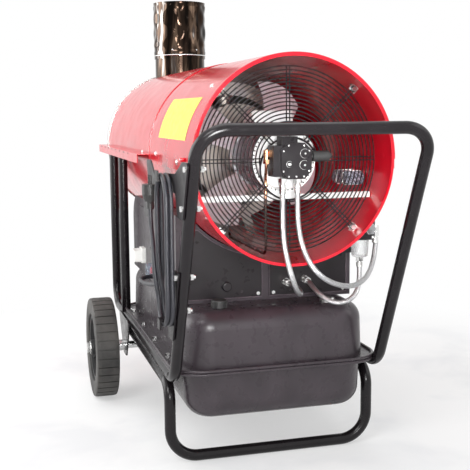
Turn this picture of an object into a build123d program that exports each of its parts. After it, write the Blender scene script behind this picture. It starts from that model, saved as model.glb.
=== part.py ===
from build123d import *
from math import atan2, cos, degrees, radians, sin, sqrt, tan
import os

# Mobile indirect oil heater. +Z is up, +X is to the right seen from the burner
# end, +Y runs from the burner end to the hot-air outlet. The origin is on the
# floor under the middle of the heater. All sizes are in millimetres.

# --- driving dimensions -----------------------------------------------------
LENGTH = 1381.0            # handle bar to outlet lip
HANDLE_REACH = 128.0       # handle bar's axis behind the intake rim
AXIS_Z = 669.0             # height of the casing's axis
CASING_R = 215.0           # outer radius of the rear upper shell
SHEET = 1.5                # casing and housing sheet
LAP_GAP = 0.3              # between sheets that lap
REAR_SECTION = 452.0       # length of the rear casing section
FRONT_END = 1181.0         # casing's front edge, from the intake rim
LAP = 12.0                 # front section laps over the rear one
RIM_LIP = 8.0              # inward lip of the intake rim
BAND_W = 12.0              # outlet's band over the casing's front edge

TUBE_R = 12.5              # frame tube, 25 mm
TUBE_WALL = 1.5
FRAME_X = 232.0            # frame tubes to the middle plane
HANDLE_Z = 735.5
HANDLE_BEND = 58.0
RAIL_Z = 206.0
RAIL_BACK = 112.0          # where the upright's line meets the rail, from the rim
RAIL_BEND = 60.0
FRONT_POST = 950.0         # front posts, from the rim
MIDDLE_POST = 775.0

WHEEL_R = 134.0
WHEEL_W = 60.0
WHEEL_X = 310.0            # wheel's middle plane
AXLE_R = 10.0
AXLE_FROM_RIM = 712.0
RUN_FIT = 0.05             # radial clearance of running fits

FLUE_R = 76.0              # 152 mm flue
FLUE_WALL = 1.5
FLUE_FROM_RIM = 1083.0
FLUE_TOP = 1098.0
COLLAR_TOP = 938.0

TANK_BACK = 100.0          # tank's rear wall, from the rim
TANK_LENGTH = 720.0
TANK_X = 208.0             # half width of the upper half
TANK_SEAM = RAIL_Z + TUBE_R + 3.0
TANK_TOP = 346.0
TANK_BOTTOM = 108.0
TANK_DEEP = 545.0          # length of the deep rear part of the lower half
TANK_SHALLOW = 160.0       # underside over the axle
TANK_WALL = 1.5
FLANGE_W = 26.0

GUARD_FROM_RIM = 50.0
WIRE_R = 1.25
RING_STEP = 8.0
RING_FIRST = 62.0
RING_COUNT = 17
FAN_FROM_RIM = 282.0
FAN_TIP = 186.0
FAN_HUB = 58.0
FAN_WIDTH = 50.0
BLADES = 4
BLADE_PITCH = 32.0
MOTOR_R = 70.0
MOTOR_BACK = 70.0
MOTOR_LENGTH = 175.0
SHAFT_R = 7.0

HOSE_R = 5.5
CABLE_R = 5.0

# --- derived places ---------------------------------------------------------
REAR_Y = -LENGTH / 2 + TUBE_R + HANDLE_REACH
OUTLET_Y = LENGTH / 2
SPLIT_Y = REAR_Y + REAR_SECTION
FRONT_Y = REAR_Y + FRONT_END
HANDLE_Y = REAR_Y - HANDLE_REACH
RAIL_Y = REAR_Y + RAIL_BACK
POST_Y = REAR_Y + FRONT_POST
MIDDLE_POST_Y = REAR_Y + MIDDLE_POST
AXLE_Y = REAR_Y + AXLE_FROM_RIM
FLUE_Y = REAR_Y + FLUE_FROM_RIM
GUARD_Y = REAR_Y + GUARD_FROM_RIM
FAN_Y = REAR_Y + FAN_FROM_RIM
MOTOR_Y = REAR_Y + MOTOR_BACK
TANK_Y = REAR_Y + TANK_BACK

BODY_AXIS = Axis((0, 0, AXIS_Z), (0, 1, 0))
UPPER_TURN = Axis((0, 0, AXIS_Z), (0, -1, 0))
LOWER_TURN = Axis((0, 0, AXIS_Z), (0, 1, 0))
HALF_SECTION = Plane(origin=(0, 0, AXIS_Z), x_dir=(1, 0, 0), z_dir=(0, 0, 1))

UPPER_IN = CASING_R - SHEET
LOWER_OUT = UPPER_IN - LAP_GAP
LOWER_IN = LOWER_OUT - SHEET
FRONT_UPPER_IN = CASING_R + LAP_GAP
FRONT_UPPER_OUT = FRONT_UPPER_IN + SHEET
FRONT_LOWER_OUT = FRONT_UPPER_IN - LAP_GAP - 0.1
FRONT_LOWER_IN = FRONT_LOWER_OUT - SHEET

parts = {}


def across(y):
    """Plane square to the body's axis: local x is +X, local y is +Z."""
    return Plane(origin=(0, y, AXIS_Z), x_dir=(1, 0, 0), z_dir=(0, -1, 0))


def upright_plane(x):
    """Plane facing +X: local x is +Y, local y is +Z."""
    return Plane(origin=(x, 0, 0), x_dir=(0, 1, 0), z_dir=(1, 0, 0))


def finish(name, builder):
    builder.part.label = name
    export_step(builder.part, f"parts/{name}.step")
    parts[name] = builder.part


def arc_radii(points):
    """Radius of each corner's arc: 0.45 of the shorter run by the half turn."""
    radii = []
    for before, here, after in zip(points, points[1:], points[2:]):
        into = Vector(*here) - Vector(*before)
        out = Vector(*after) - Vector(*here)
        half_turn = radians(into.get_angle(out)) / 2
        radii.append(0.45 * min(into.length, out.length) / tan(half_turn))
    return radii


def tube(points, radii, outer, inner=0.0):
    """Round tube along straight runs joined by arcs."""
    with BuildPart(mode=Mode.PRIVATE) as made:
        with BuildLine(mode=Mode.PRIVATE) as path:
            FilletPolyline(*points, radius=radii)
        with BuildSketch(Plane(origin=path.line @ 0, z_dir=path.line % 0)):
            Circle(outer)
            if inner > 0:
                Circle(inner, mode=Mode.SUBTRACT)
        sweep(path=path.line)
    return made.part


os.makedirs("parts", exist_ok=True)

# --- casing shells ----------------------------------------------------------
SKIRT = 20.0               # upper shells reach this far below the axis
FLANGE_OUT = FRAME_X + TUBE_R + 0.3
FLANGE_DROP = 22.0


def half_shell(inner, outer, start, end, turn, lip=0.0):
    """Half a cylinder of sheet, with an inward lip at its rear edge."""
    with BuildPart(mode=Mode.PRIVATE) as made:
        with BuildSketch(HALF_SECTION):
            with Locations(((inner + outer) / 2, (start + end) / 2)):
                Rectangle(outer - inner, end - start)
            if lip > 0:
                with Locations((outer - lip / 2, start + SHEET)):
                    Rectangle(lip, 2 * SHEET)
        revolve(axis=turn, revolution_arc=180)
        if lip > 0:
            rim = made.edges().filter_by(GeomType.CIRCLE).group_by(Axis.Y)[0]
            fillet(rim.sort_by(SortBy.RADIUS)[-1], SHEET * 0.9)
    return made.part


with BuildPart() as rear_upper_shell:
    add(half_shell(UPPER_IN, CASING_R, REAR_Y, SPLIT_Y + LAP, UPPER_TURN, RIM_LIP))
    for side in (-1, 1):
        with BuildSketch(Plane.XY.offset(AXIS_Z)):
            with Locations((side * (UPPER_IN + SHEET / 2), (REAR_Y + SPLIT_Y) / 2)):
                Rectangle(SHEET, REAR_SECTION - 2 * LAP_GAP - RIM_LIP)
        extrude(amount=-SKIRT)
finish("rear_upper_shell", rear_upper_shell)

with BuildPart() as rear_lower_shell:
    add(half_shell(LOWER_IN, LOWER_OUT, REAR_Y, SPLIT_Y + LAP, LOWER_TURN, RIM_LIP - 2))
finish("rear_lower_shell", rear_lower_shell)

with BuildPart() as front_upper_shell:
    add(half_shell(FRONT_UPPER_IN, FRONT_UPPER_OUT, SPLIT_Y, FRONT_Y, UPPER_TURN))
    # side flange: a ledge that lies on the frame posts, with a turned-down edge
    for side in (-1, 1):
        with BuildSketch(Plane.XZ.offset(-SPLIT_Y)) as flange:
            with BuildLine():
                Polyline(
                    (side * FRONT_UPPER_IN, AXIS_Z - SKIRT),
                    (side * FRONT_UPPER_IN, AXIS_Z),
                    (side * (FLANGE_OUT + SHEET), AXIS_Z),
                    (side * (FLANGE_OUT + SHEET), AXIS_Z - FLANGE_DROP),
                    (side * FLANGE_OUT, AXIS_Z - FLANGE_DROP),
                    (side * FLANGE_OUT, AXIS_Z - SHEET),
                    (side * FRONT_UPPER_OUT, AXIS_Z - SHEET),
                    (side * FRONT_UPPER_OUT, AXIS_Z - SKIRT),
                    close=True,
                )
            make_face()
        extrude(amount=-(FRONT_Y - SPLIT_Y - BAND_W - LAP_GAP))
    with BuildSketch(Plane.XY.offset(AXIS_Z + 100)):
        with Locations((0, FLUE_Y)):
            Circle(FLUE_R + 1)
    extrude(amount=150, mode=Mode.SUBTRACT)
finish("front_upper_shell", front_upper_shell)

with BuildPart() as front_lower_shell:
    add(half_shell(FRONT_LOWER_IN, FRONT_LOWER_OUT, SPLIT_Y, FRONT_Y, LOWER_TURN))
finish("front_lower_shell", front_lower_shell)

# outlet: a band over the casing's front edge, then a cone with a rolled lip
BAND_R = FRONT_UPPER_OUT + LAP_GAP
LIP_R = 163.0
ROLL_R = 4.0
with BuildPart() as outlet_cone:
    with BuildSketch(HALF_SECTION):
        with BuildLine():
            Polyline(
                (BAND_R, FRONT_Y - BAND_W),
                (BAND_R + SHEET, FRONT_Y - BAND_W),
                (BAND_R + SHEET, FRONT_Y + SHEET + 0.5),
                (LIP_R + SHEET, OUTLET_Y - ROLL_R),
                (LIP_R, OUTLET_Y - ROLL_R),
                (BAND_R - 3, FRONT_Y + 0.5),
                (BAND_R, FRONT_Y + 0.5),
                close=True,
            )
        make_face()
        with Locations((LIP_R + ROLL_R, OUTLET_Y - ROLL_R)):
            Circle(ROLL_R)
    revolve(axis=BODY_AXIS)
finish("outlet_cone", outlet_cone)

# --- intake guard -----------------------------------------------------------
MOUTH = (4.0, -18.0)       # opening for the pump, from the body's axis
MOUTH_R = 64.0
GUARD_R = RING_FIRST + RING_STEP * (RING_COUNT - 1)
LUG_R = 203.0
SPOKE_PAIR = 7.0
BOLT_R = 3.0


def ring(radius, y, centre=(0.0, 0.0), wire=WIRE_R):
    """One wire ring square to the body's axis."""
    spin = Axis((centre[0], 0, AXIS_Z + centre[1]), (0, 1, 0))
    with BuildPart(mode=Mode.PRIVATE) as made:
        with BuildSketch(Plane(origin=(centre[0], y, AXIS_Z + centre[1]), x_dir=(1, 0, 0), z_dir=(0, 0, 1))):
            with Locations((radius, 0)):
                RegularPolygon(wire * 1.1, 6)
        revolve(axis=spin)
    return made.part


with BuildPart() as inlet_guard:
    for step in range(RING_COUNT):
        add(ring(RING_FIRST + step * RING_STEP, GUARD_Y))
    # spokes lie behind the rings: pairs upright, level and on the diagonals
    for angle in range(0, 360, 45):
        reach = LUG_R - BOLT_R - 3 if angle % 90 else GUARD_R + 1
        for shift in (-SPOKE_PAIR / 2, SPOKE_PAIR / 2):
            start = Plane(
                origin=(0, GUARD_Y + 2 * WIRE_R - 0.4, AXIS_Z),
                z_dir=(cos(radians(angle)), 0, sin(radians(angle))),
                x_dir=(0, 1, 0),
            )
            with BuildSketch(start):
                with Locations((0, shift)):
                    RegularPolygon(WIRE_R * 1.1, 6)
            extrude(amount=reach)
    # the mouth is cut clear, and two hoops edge it
    with BuildSketch(across(GUARD_Y - 10)):
        with Locations(MOUTH):
            Circle(MOUTH_R)
    extrude(amount=-30, mode=Mode.SUBTRACT)
    add(ring(MOUTH_R, GUARD_Y, MOUTH, WIRE_R * 1.3))
    add(ring(MOUTH_R, GUARD_Y + 2 * WIRE_R, MOUTH, WIRE_R * 1.3))
    # eyes on the diagonals
    with BuildSketch(across(GUARD_Y + 3 * WIRE_R)):
        with PolarLocations(LUG_R, 4, 45):
            Circle(7)
        with PolarLocations(LUG_R, 4, 45):
            Circle(BOLT_R + 0.4, mode=Mode.SUBTRACT)
    extrude(amount=2.5)
finish("inlet_guard", inlet_guard)

# clips carry the guard's eyes from the casing's wall
CLIP_Y = GUARD_Y + 3 * WIRE_R
with BuildPart() as guard_clips:
    with BuildSketch(across(CLIP_Y)):
        with PolarLocations(LUG_R, 4, 45):
            Rectangle(13, 16)
        Circle(LOWER_IN - 0.3, mode=Mode.INTERSECT)
    extrude(amount=-2)
    with BuildSketch(across(CLIP_Y)):
        with PolarLocations(LOWER_IN - 2, 4, 45):
            Rectangle(4, 16)
        Circle(LOWER_IN - 0.3, mode=Mode.INTERSECT)
        Circle(LOWER_IN - 2.3, mode=Mode.SUBTRACT)
    extrude(amount=-20)
    with BuildSketch(across(CLIP_Y - 3.5)):
        with PolarLocations(LUG_R, 4, 45):
            Circle(BOLT_R)
    extrude(amount=-12)
    with BuildSketch(across(CLIP_Y - 2.6)):
        with PolarLocations(LUG_R, 4, 45):
            RegularPolygon(5.5, 6)
    extrude(amount=4)
finish("guard_clips", guard_clips)

# --- fan motor, its bar and the fan -----------------------------------------
PUMP_SHAFT_Y = REAR_Y + 48
with BuildPart() as fan_motor:
    with BuildSketch(across(MOTOR_Y + 14)):
        Circle(MOTOR_R - 4)
        with PolarLocations(MOTOR_R - 4, 28):
            Rectangle(8, 3)
    extrude(amount=-(MOTOR_LENGTH - 28))
    with BuildSketch(across(MOTOR_Y + MOTOR_LENGTH - 14)):
        Circle(MOTOR_R)
    extrude(amount=-14, taper=25)
    with BuildSketch(across(MOTOR_Y)):
        Circle(SHAFT_R + RUN_FIT)
    extrude(amount=-MOTOR_LENGTH, mode=Mode.SUBTRACT)
finish("fan_motor", fan_motor)

SHIELD_R = MOTOR_R - 12
with BuildPart() as motor_end_shield:
    with BuildSketch(across(MOTOR_Y + 14)):
        Circle(MOTOR_R)
    extrude(amount=4)
    with BuildSketch(across(MOTOR_Y + 10)):
        Circle(SHIELD_R + 6)
    extrude(amount=10, taper=20)
    fillet(motor_end_shield.faces().sort_by(Axis.Y)[0].edges(), 2)
    with BuildSketch(across(MOTOR_Y - 1)):
        Circle(SHAFT_R + RUN_FIT)
    extrude(amount=-16, mode=Mode.SUBTRACT)
finish("motor_end_shield", motor_end_shield)

BAR_Z = 590.0
BAR_T = 12.0
BAR_Y = REAR_Y + 78
BAR_DEEP = 10.0
BAR_REACH = sqrt(LOWER_IN ** 2 - (AXIS_Z - BAR_Z + BAR_T / 2) ** 2) - LAP_GAP
CRADLE_W = 70.0
CRADLE_END = MOTOR_Y + MOTOR_LENGTH - 30
with BuildPart() as motor_bar:
    with BuildSketch(Plane.XZ.offset(-BAR_Y)):
        with Locations((0, BAR_Z)):
            Rectangle(2 * BAR_REACH, BAR_T)
    extrude(amount=-BAR_DEEP)
    # cradle from the bar up to the motor's underside
    with BuildSketch(Plane.XZ.offset(-BAR_Y)):
        with Locations((0, BAR_Z + BAR_T / 2)):
            Rectangle(CRADLE_W, 34, align=(Align.CENTER, Align.MIN))
    extrude(amount=-(CRADLE_END - BAR_Y))
    with BuildSketch(across(BAR_Y - 1)):
        Circle(MOTOR_R + LAP_GAP)
    extrude(amount=-(CRADLE_END - BAR_Y + 2), mode=Mode.SUBTRACT)
finish("motor_bar", motor_bar)

with BuildPart() as terminal_box:
    with BuildSketch(Plane.XY.offset(AXIS_Z + MOTOR_R - 3)):
        with Locations((-12, MOTOR_Y + 80)):
            RectangleRounded(92, 74, 9)
    extrude(amount=34)
    fillet(terminal_box.faces().sort_by(Axis.Z)[-1].edges(), 3)
    with BuildSketch(across(MOTOR_Y)):
        Circle(MOTOR_R + LAP_GAP)
    extrude(amount=-MOTOR_LENGTH, mode=Mode.SUBTRACT)
finish("terminal_box", terminal_box)

# run capacitor, strapped to the casing's right inner wall
CAP_R = 18.0
CAP_Z = 632.0
CAP_X = sqrt((LOWER_IN - CAP_R - 0.4) ** 2 - (AXIS_Z - CAP_Z) ** 2)
with BuildPart() as run_capacitor:
    with BuildSketch(Plane.XZ.offset(-(REAR_Y + 120))):
        with Locations((CAP_X, CAP_Z)):
            Circle(CAP_R)
    extrude(amount=-74)
    fillet(run_capacitor.edges().filter_by(GeomType.CIRCLE), 3)
finish("run_capacitor", run_capacitor)

SHAFT_END = FAN_Y + FAN_WIDTH / 2 + 6
with BuildPart() as fan_shaft:
    with BuildSketch(across(PUMP_SHAFT_Y)):
        Circle(SHAFT_R)
    extrude(amount=-(SHAFT_END - PUMP_SHAFT_Y))
    chamfer(fan_shaft.edges().filter_by(GeomType.CIRCLE), 0.8)
finish("fan_shaft", fan_shaft)

BLADE_T = 2.0
BLADE_ARCH = 160.0
with BuildPart() as blade:
    # arched sheet, pitched across the air path
    with BuildSketch(upright_plane(FAN_HUB - 14).shift_origin((FAN_HUB - 14, FAN_Y, AXIS_Z)).rotated((0, 0, BLADE_PITCH))):
        with BuildLine():
            RadiusArc((0, -78), (0, 78), BLADE_ARCH)
            RadiusArc((BLADE_T, 78), (BLADE_T, -78), -BLADE_ARCH)
            Line((0, 78), (BLADE_T, 78))
            Line((0, -78), (BLADE_T, -78))
        make_face()
    extrude(amount=FAN_TIP)
    # sickle outline
    with BuildSketch(across(FAN_Y - 60)):
        with BuildLine():
            CenterArc((0, 0), FAN_TIP, -20, 42)
            ThreePointArc(
                (FAN_TIP * cos(radians(22)), FAN_TIP * sin(radians(22))),
                (118, 28),
                ((FAN_HUB - 6) * cos(radians(22)), (FAN_HUB - 6) * sin(radians(22))),
            )
            CenterArc((0, 0), FAN_HUB - 6, -24, 46)
            ThreePointArc(
                ((FAN_HUB - 6) * cos(radians(24)), -(FAN_HUB - 6) * sin(radians(24))),
                (112, -52),
                (FAN_TIP * cos(radians(20)), -FAN_TIP * sin(radians(20))),
            )
        make_face()
    extrude(amount=-120, mode=Mode.INTERSECT)

with BuildPart() as fan:
    with BuildSketch(across(FAN_Y - FAN_WIDTH / 2)):
        Circle(FAN_HUB)
    extrude(amount=-FAN_WIDTH)
    fillet(fan.edges().filter_by(GeomType.CIRCLE), 4)
    with BuildSketch(across(FAN_Y - FAN_WIDTH / 2)):
        Circle(FAN_HUB - 6)
        Circle(16, mode=Mode.SUBTRACT)
    extrude(amount=-(FAN_WIDTH / 2 - 4), mode=Mode.SUBTRACT)
    for turn in range(BLADES):
        add(blade.part.rotate(BODY_AXIS, 27 - turn * 360 / BLADES))
    with BuildSketch(across(FAN_Y - FAN_WIDTH)):
        Circle(SHAFT_R)
    extrude(amount=-2 * FAN_WIDTH, mode=Mode.SUBTRACT)
finish("fan", fan)

# --- oil pump and its lines -------------------------------------------------
PUMP_W = 66.0
PUMP_H = 72.0
PUMP_DEEP = 45.0
PUMP_Z = AXIS_Z + 1
with BuildPart() as oil_pump:
    with BuildSketch(across(REAR_Y)) as face:
        Rectangle(PUMP_W, PUMP_H)
        chamfer(face.vertices(), 15)
    extrude(amount=-PUMP_DEEP)
    chamfer(oil_pump.faces().sort_by(Axis.Y)[0].edges(), 1.5)
    # side block on the left and the regulator housing on top
    with BuildSketch(across(REAR_Y + 5)):
        with Locations((-PUMP_W / 2 - 4, 0)):
            Rectangle(20, 62)
        with Locations((-12, PUMP_H / 2 + 4)):
            Rectangle(32, 18)
    extrude(amount=-(PUMP_DEEP - 10))
    # two gauge ports and the pressure screw on the face
    with BuildSketch(across(REAR_Y)):
        with Locations((17, 15), (16, -8)):
            Circle(9)
        with Locations((-15, -6)):
            Circle(6)
    extrude(amount=4)
    with BuildSketch(across(REAR_Y - 4)):
        with Locations((17, 15), (16, -8)):
            RegularPolygon(3.5, 6)
        with Locations((-15, -6)):
            Rectangle(8, 1.6)
    extrude(amount=-2.5, mode=Mode.SUBTRACT)
finish("oil_pump", oil_pump)

ADAPTER_R = 27.0
with BuildPart() as pump_adapter:
    with BuildSketch(across(REAR_Y + PUMP_DEEP)):
        Circle(ADAPTER_R)
        Circle(SHAFT_R + 4, mode=Mode.SUBTRACT)
    extrude(amount=-(MOTOR_BACK - PUMP_DEEP))
finish("pump_adapter", pump_adapter)

SOLENOID_Z = AXIS_Z + 8
with BuildPart() as pump_solenoid:
    with BuildSketch(upright_plane(PUMP_W / 2)):
        with Locations((REAR_Y + 22, SOLENOID_Z)):
            Circle(7)
    extrude(amount=8)
    with BuildSketch(upright_plane(PUMP_W / 2 + 8)):
        with Locations((REAR_Y + 22, SOLENOID_Z)):
            Circle(11)
    extrude(amount=36)
    fillet(pump_solenoid.edges().filter_by(GeomType.CIRCLE).sort_by(Axis.X)[-1], 2)
    with BuildSketch(upright_plane(PUMP_W / 2 + 44)):
        with Locations((REAR_Y + 22, SOLENOID_Z)):
            RegularPolygon(6, 6)
    extrude(amount=5)
finish("pump_solenoid", pump_solenoid)

PORT_Y = REAR_Y + 22
RETURN_PORT_X = -22.0
FEED_PORT_X = 10.0
PUMP_BOTTOM = AXIS_Z - PUMP_H / 2
FITTING = 30.0             # nut and ferrule together


def hose_fitting(start, direction, length=FITTING):
    """Union nut, neck and ferrule, from its seat to the end of the hose."""
    seat = Plane(origin=start, z_dir=direction)
    with BuildPart(mode=Mode.PRIVATE) as made:
        with BuildSketch(seat):
            RegularPolygon(9, 6)
        extrude(amount=9)
        with BuildSketch(seat.offset(8)):
            Circle(5)
        extrude(amount=5)
        with BuildSketch(seat.offset(12)):
            Circle(HOSE_R + 1.7)
        extrude(amount=length - 12)
    return made.part


# oil filter on the right, behind the rim
FILTER_X = 191.0
FILTER_Y = REAR_Y + 122
HEAD_TOP = 530.0
HEAD_LOW = 488.0
BOWL_LOW = 448.0
HEAD_W = 44.0
BOWL_R = 20.0
ELBOW_X = FILTER_X + HEAD_W / 2 + 15
ELBOW_Z = 510.0

HOUSING_BACK = 210.0
HOUSING_Y = REAR_Y + HOUSING_BACK
PANEL_T = 2.0
PANEL_Y = HOUSING_Y - PANEL_T
RETURN_END = (46.0, PANEL_Y, 386.0)
TANK_LINE_END = (92.0, PANEL_Y, 389.0)

with BuildPart() as hose_fittings:
    add(hose_fitting((RETURN_PORT_X, PORT_Y, PUMP_BOTTOM), (0, 0, -1)))
    add(hose_fitting((FEED_PORT_X, PORT_Y, PUMP_BOTTOM), (0, 0, -1)))
    add(hose_fitting(RETURN_END, (0, -1, 0), 26))
    add(hose_fitting(TANK_LINE_END, (0, -1, 0), 26))
    # elbow on the filter head's right port, turned down
    with BuildSketch(upright_plane(FILTER_X + HEAD_W / 2)):
        with Locations((FILTER_Y, ELBOW_Z)):
            Circle(6)
    extrude(amount=ELBOW_X - FILTER_X - HEAD_W / 2)
    with BuildSketch(Plane.XY.offset(ELBOW_Z + 6)):
        with Locations((ELBOW_X, FILTER_Y)):
            Circle(8)
    extrude(amount=-14)
    add(hose_fitting((ELBOW_X, FILTER_Y, ELBOW_Z - 8), (0, 0, -1), 24))
    add(hose_fitting((FILTER_X, FILTER_Y, BOWL_LOW), (0, 0, -1), 22))
finish("hose_fittings", hose_fittings)

RETURN_ROUTE = [
    (RETURN_PORT_X, PORT_Y, PUMP_BOTTOM - FITTING),
    (RETURN_PORT_X, PORT_Y, 572),
    (-24, REAR_Y + 14, 534),
    (-26, REAR_Y, 498),
    (-22, REAR_Y - 13, 464),
    (-12, REAR_Y - 14, 430),
    (2, REAR_Y + 2, 404),
    (20, REAR_Y + 34, 390),
    (36, REAR_Y + 72, 386),
    (44, REAR_Y + 112, 386),
    (46, REAR_Y + 150, 386),
    (46, PANEL_Y - 26, 386),
]
FEED_ROUTE = [
    (FEED_PORT_X, PORT_Y, PUMP_BOTTOM - FITTING),
    (FEED_PORT_X, PORT_Y, 572),
    (9, REAR_Y + 14, 534),
    (12, REAR_Y, 498),
    (24, REAR_Y - 13, 464),
    (48, REAR_Y - 17, 436),
    (84, REAR_Y - 8, 418),
    (124, REAR_Y + 14, 408),
    (162, REAR_Y + 44, 408),
    (194, REAR_Y + 76, 416),
    (216, REAR_Y + 104, 432),
    (ELBOW_X, FILTER_Y, 456),
    (ELBOW_X, FILTER_Y, ELBOW_Z - 8 - 24),
]
TANK_ROUTE = [
    (FILTER_X, FILTER_Y, BOWL_LOW - 22),
    (FILTER_X, FILTER_Y, 404),
    (186, REAR_Y + 116, 378),
    (171, REAR_Y + 108, 358),
    (148, REAR_Y + 103, 348),
    (124, REAR_Y + 104, 350),
    (105, REAR_Y + 113, 362),
    (95, REAR_Y + 130, 377),
    (92, REAR_Y + 156, 389),
    (92, PANEL_Y - 26, 389),
]
for name, route in (
    ("return_hose", RETURN_ROUTE),
    ("feed_hose", FEED_ROUTE),
    ("tank_hose", TANK_ROUTE),
):
    radii = arc_radii(route)
    print(name, "radii", [round(r) for r in radii])
    with BuildPart() as hose:
        add(tube(route, radii, HOSE_R))
    finish(name, hose)

# copper line from the pump to the burner, under the fan along the casing
PIPE_R = 3.0
PIPE_X = -56.0
PIPE_LOW = 474.0
BURNER_R = 50.0
BURNER_Y = REAR_Y + 338
PIPE_ROUTE = [
    (PIPE_X, PORT_Y, AXIS_Z + 6),
    (PIPE_X, PORT_Y, AXIS_Z - 9),
    (-46, REAR_Y + 60, AXIS_Z - 40),
    (-46, REAR_Y + 60, PIPE_LOW),
    (-46, BURNER_Y + 16, PIPE_LOW),
    (-8, BURNER_Y + 16, AXIS_Z - BURNER_R - 0.1),
]
with BuildPart() as nozzle_pipe:
    add(tube(PIPE_ROUTE, [14, 14, 16, 16], PIPE_R))
    # brass elbow on the pump's side block
    with BuildSketch(upright_plane(-PUMP_W / 2 - 14)):
        with Locations((PORT_Y, AXIS_Z + 15)):
            RegularPolygon(8, 6)
    extrude(amount=-6)
    with BuildSketch(Plane.XY.offset(AXIS_Z + 22)):
        with Locations((PIPE_X, PORT_Y)):
            Circle(6)
    extrude(amount=-20)
    with BuildSketch(Plane.XY.offset(AXIS_Z + 3)):
        with Locations((PIPE_X, PORT_Y)):
            RegularPolygon(7, 6)
    extrude(amount=-8)
finish("nozzle_pipe", nozzle_pipe)

# --- oil filter -------------------------------------------------------------
with BuildPart() as filter_bracket:
    # plate behind the head, folded to the housing's rear face
    with BuildSketch(Plane.XZ.offset(-(FILTER_Y + HEAD_W / 2))):
        with Locations((FILTER_X, (HEAD_TOP + HEAD_LOW) / 2)):
            Rectangle(HEAD_W + 6, HEAD_TOP - HEAD_LOW + 8)
    extrude(amount=-3)
    with BuildSketch(Plane.XY.offset(HEAD_LOW - 4)):
        with Locations((FILTER_X, (FILTER_Y + HEAD_W / 2 + PANEL_Y) / 2)):
            Rectangle(HEAD_W + 6, PANEL_Y - FILTER_Y - HEAD_W / 2)
    extrude(amount=3)
    with BuildSketch(Plane.XZ.offset(-PANEL_Y)):
        with Locations((FILTER_X, HEAD_LOW - 4)):
            Rectangle(HEAD_W + 6, 40, align=(Align.CENTER, Align.MAX))
    extrude(amount=3)
finish("filter_bracket", filter_bracket)

VALVE_X = FILTER_X + 10
VALVE_Z = 513.0
with BuildPart() as filter_head:
    with BuildSketch(Plane.XY.offset(HEAD_LOW)):
        with Locations((FILTER_X, FILTER_Y)):
            RectangleRounded(HEAD_W, HEAD_W, 10)
    extrude(amount=HEAD_TOP - HEAD_LOW)
    chamfer(filter_head.faces().sort_by(Axis.Z)[-1].edges(), 3)
    # seat and stem of the shut-off valve
    with BuildSketch(Plane.XZ.offset(-(FILTER_Y - HEAD_W / 2))):
        with Locations((VALVE_X, VALVE_Z)):
            Circle(10)
    extrude(amount=4)
    with BuildSketch(Plane.XZ.offset(-(FILTER_Y - HEAD_W / 2 - 4))):
        with Locations((VALVE_X, VALVE_Z)):
            Circle(4)
    extrude(amount=10)
finish("filter_head", filter_head)

VALVE_Y = FILTER_Y - HEAD_W / 2 - 4.3
with BuildPart() as filter_valve:
    with BuildSketch(Plane.XZ.offset(-VALVE_Y)):
        with Locations((VALVE_X, VALVE_Z)):
            RegularPolygon(13, 6)
    extrude(amount=12)
    chamfer(filter_valve.faces().sort_by(Axis.Y)[0].edges(), 1.5)
    with BuildSketch(Plane.XZ.offset(-VALVE_Y)):
        with Locations((VALVE_X, VALVE_Z)):
            Circle(4 + RUN_FIT)
    extrude(amount=9.8, mode=Mode.SUBTRACT)
finish("filter_valve", filter_valve)

with BuildPart() as filter_bowl:
    with BuildSketch(Plane.XY.offset(HEAD_LOW)):
        with Locations((FILTER_X, FILTER_Y)):
            Circle(BOWL_R)
    extrude(amount=BOWL_LOW - HEAD_LOW, taper=3)
    fillet(filter_bowl.faces().sort_by(Axis.Z)[0].edges(), 5)
    with BuildSketch(Plane.XY.offset(HEAD_LOW)):
        with Locations((FILTER_X, FILTER_Y)):
            Circle(BOWL_R - 2.5)
    extrude(amount=-36, taper=3, mode=Mode.SUBTRACT)
finish("filter_bowl", filter_bowl)

# --- burner, chamber, exchanger and flue ------------------------------------
STEEL = 2.0
CHAMBER_R = 118.0
CHAMBER_Y = REAR_Y + 430
CHAMBER_END = REAR_Y + 1040
CHAMBER_DOME = 42.0
DRUM_IN = 140.0
DRUM_OUT = 172.0
DRUM_Y = REAR_Y + 500
DRUM_END = REAR_Y + 1160

with BuildPart() as burner_tube:
    with BuildSketch(across(BURNER_Y)):
        Circle(BURNER_R)
        Circle(BURNER_R - STEEL, mode=Mode.SUBTRACT)
    extrude(amount=-(CHAMBER_Y - BURNER_Y))
    with BuildSketch(across(BURNER_Y)):
        Circle(BURNER_R)
    extrude(amount=-STEEL)
    with BuildSketch(across(CHAMBER_Y)):
        Circle(BURNER_R + 30)
        Circle(BURNER_R - STEEL, mode=Mode.SUBTRACT)
    extrude(amount=4)
finish("burner_tube", burner_tube)



def vessel(radius, start, end, dome):
    """Drum about the body's axis with a front end domed as part of a sphere."""
    ball = (radius ** 2 + dome ** 2) / (2 * dome)
    with BuildPart(mode=Mode.PRIVATE) as made:
        with Locations((0, end + dome - ball, AXIS_Z)):
            Sphere(ball)
        with BuildSketch(across(end)):
            Circle(radius)
        extrude(amount=-2 * dome, mode=Mode.INTERSECT)
        with BuildSketch(across(start)):
            Circle(radius)
        extrude(amount=-(end - start))
    return made.part


with BuildPart() as combustion_chamber:
    add(vessel(CHAMBER_R, CHAMBER_Y, CHAMBER_END, CHAMBER_DOME))
    add(
        vessel(CHAMBER_R - STEEL, CHAMBER_Y + STEEL, CHAMBER_END, CHAMBER_DOME - STEEL),
        mode=Mode.SUBTRACT,
    )
    with BuildSketch(across(CHAMBER_Y - 1)):
        Circle(BURNER_R)
    extrude(amount=-STEEL - 2, mode=Mode.SUBTRACT)
finish("combustion_chamber", combustion_chamber)

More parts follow.
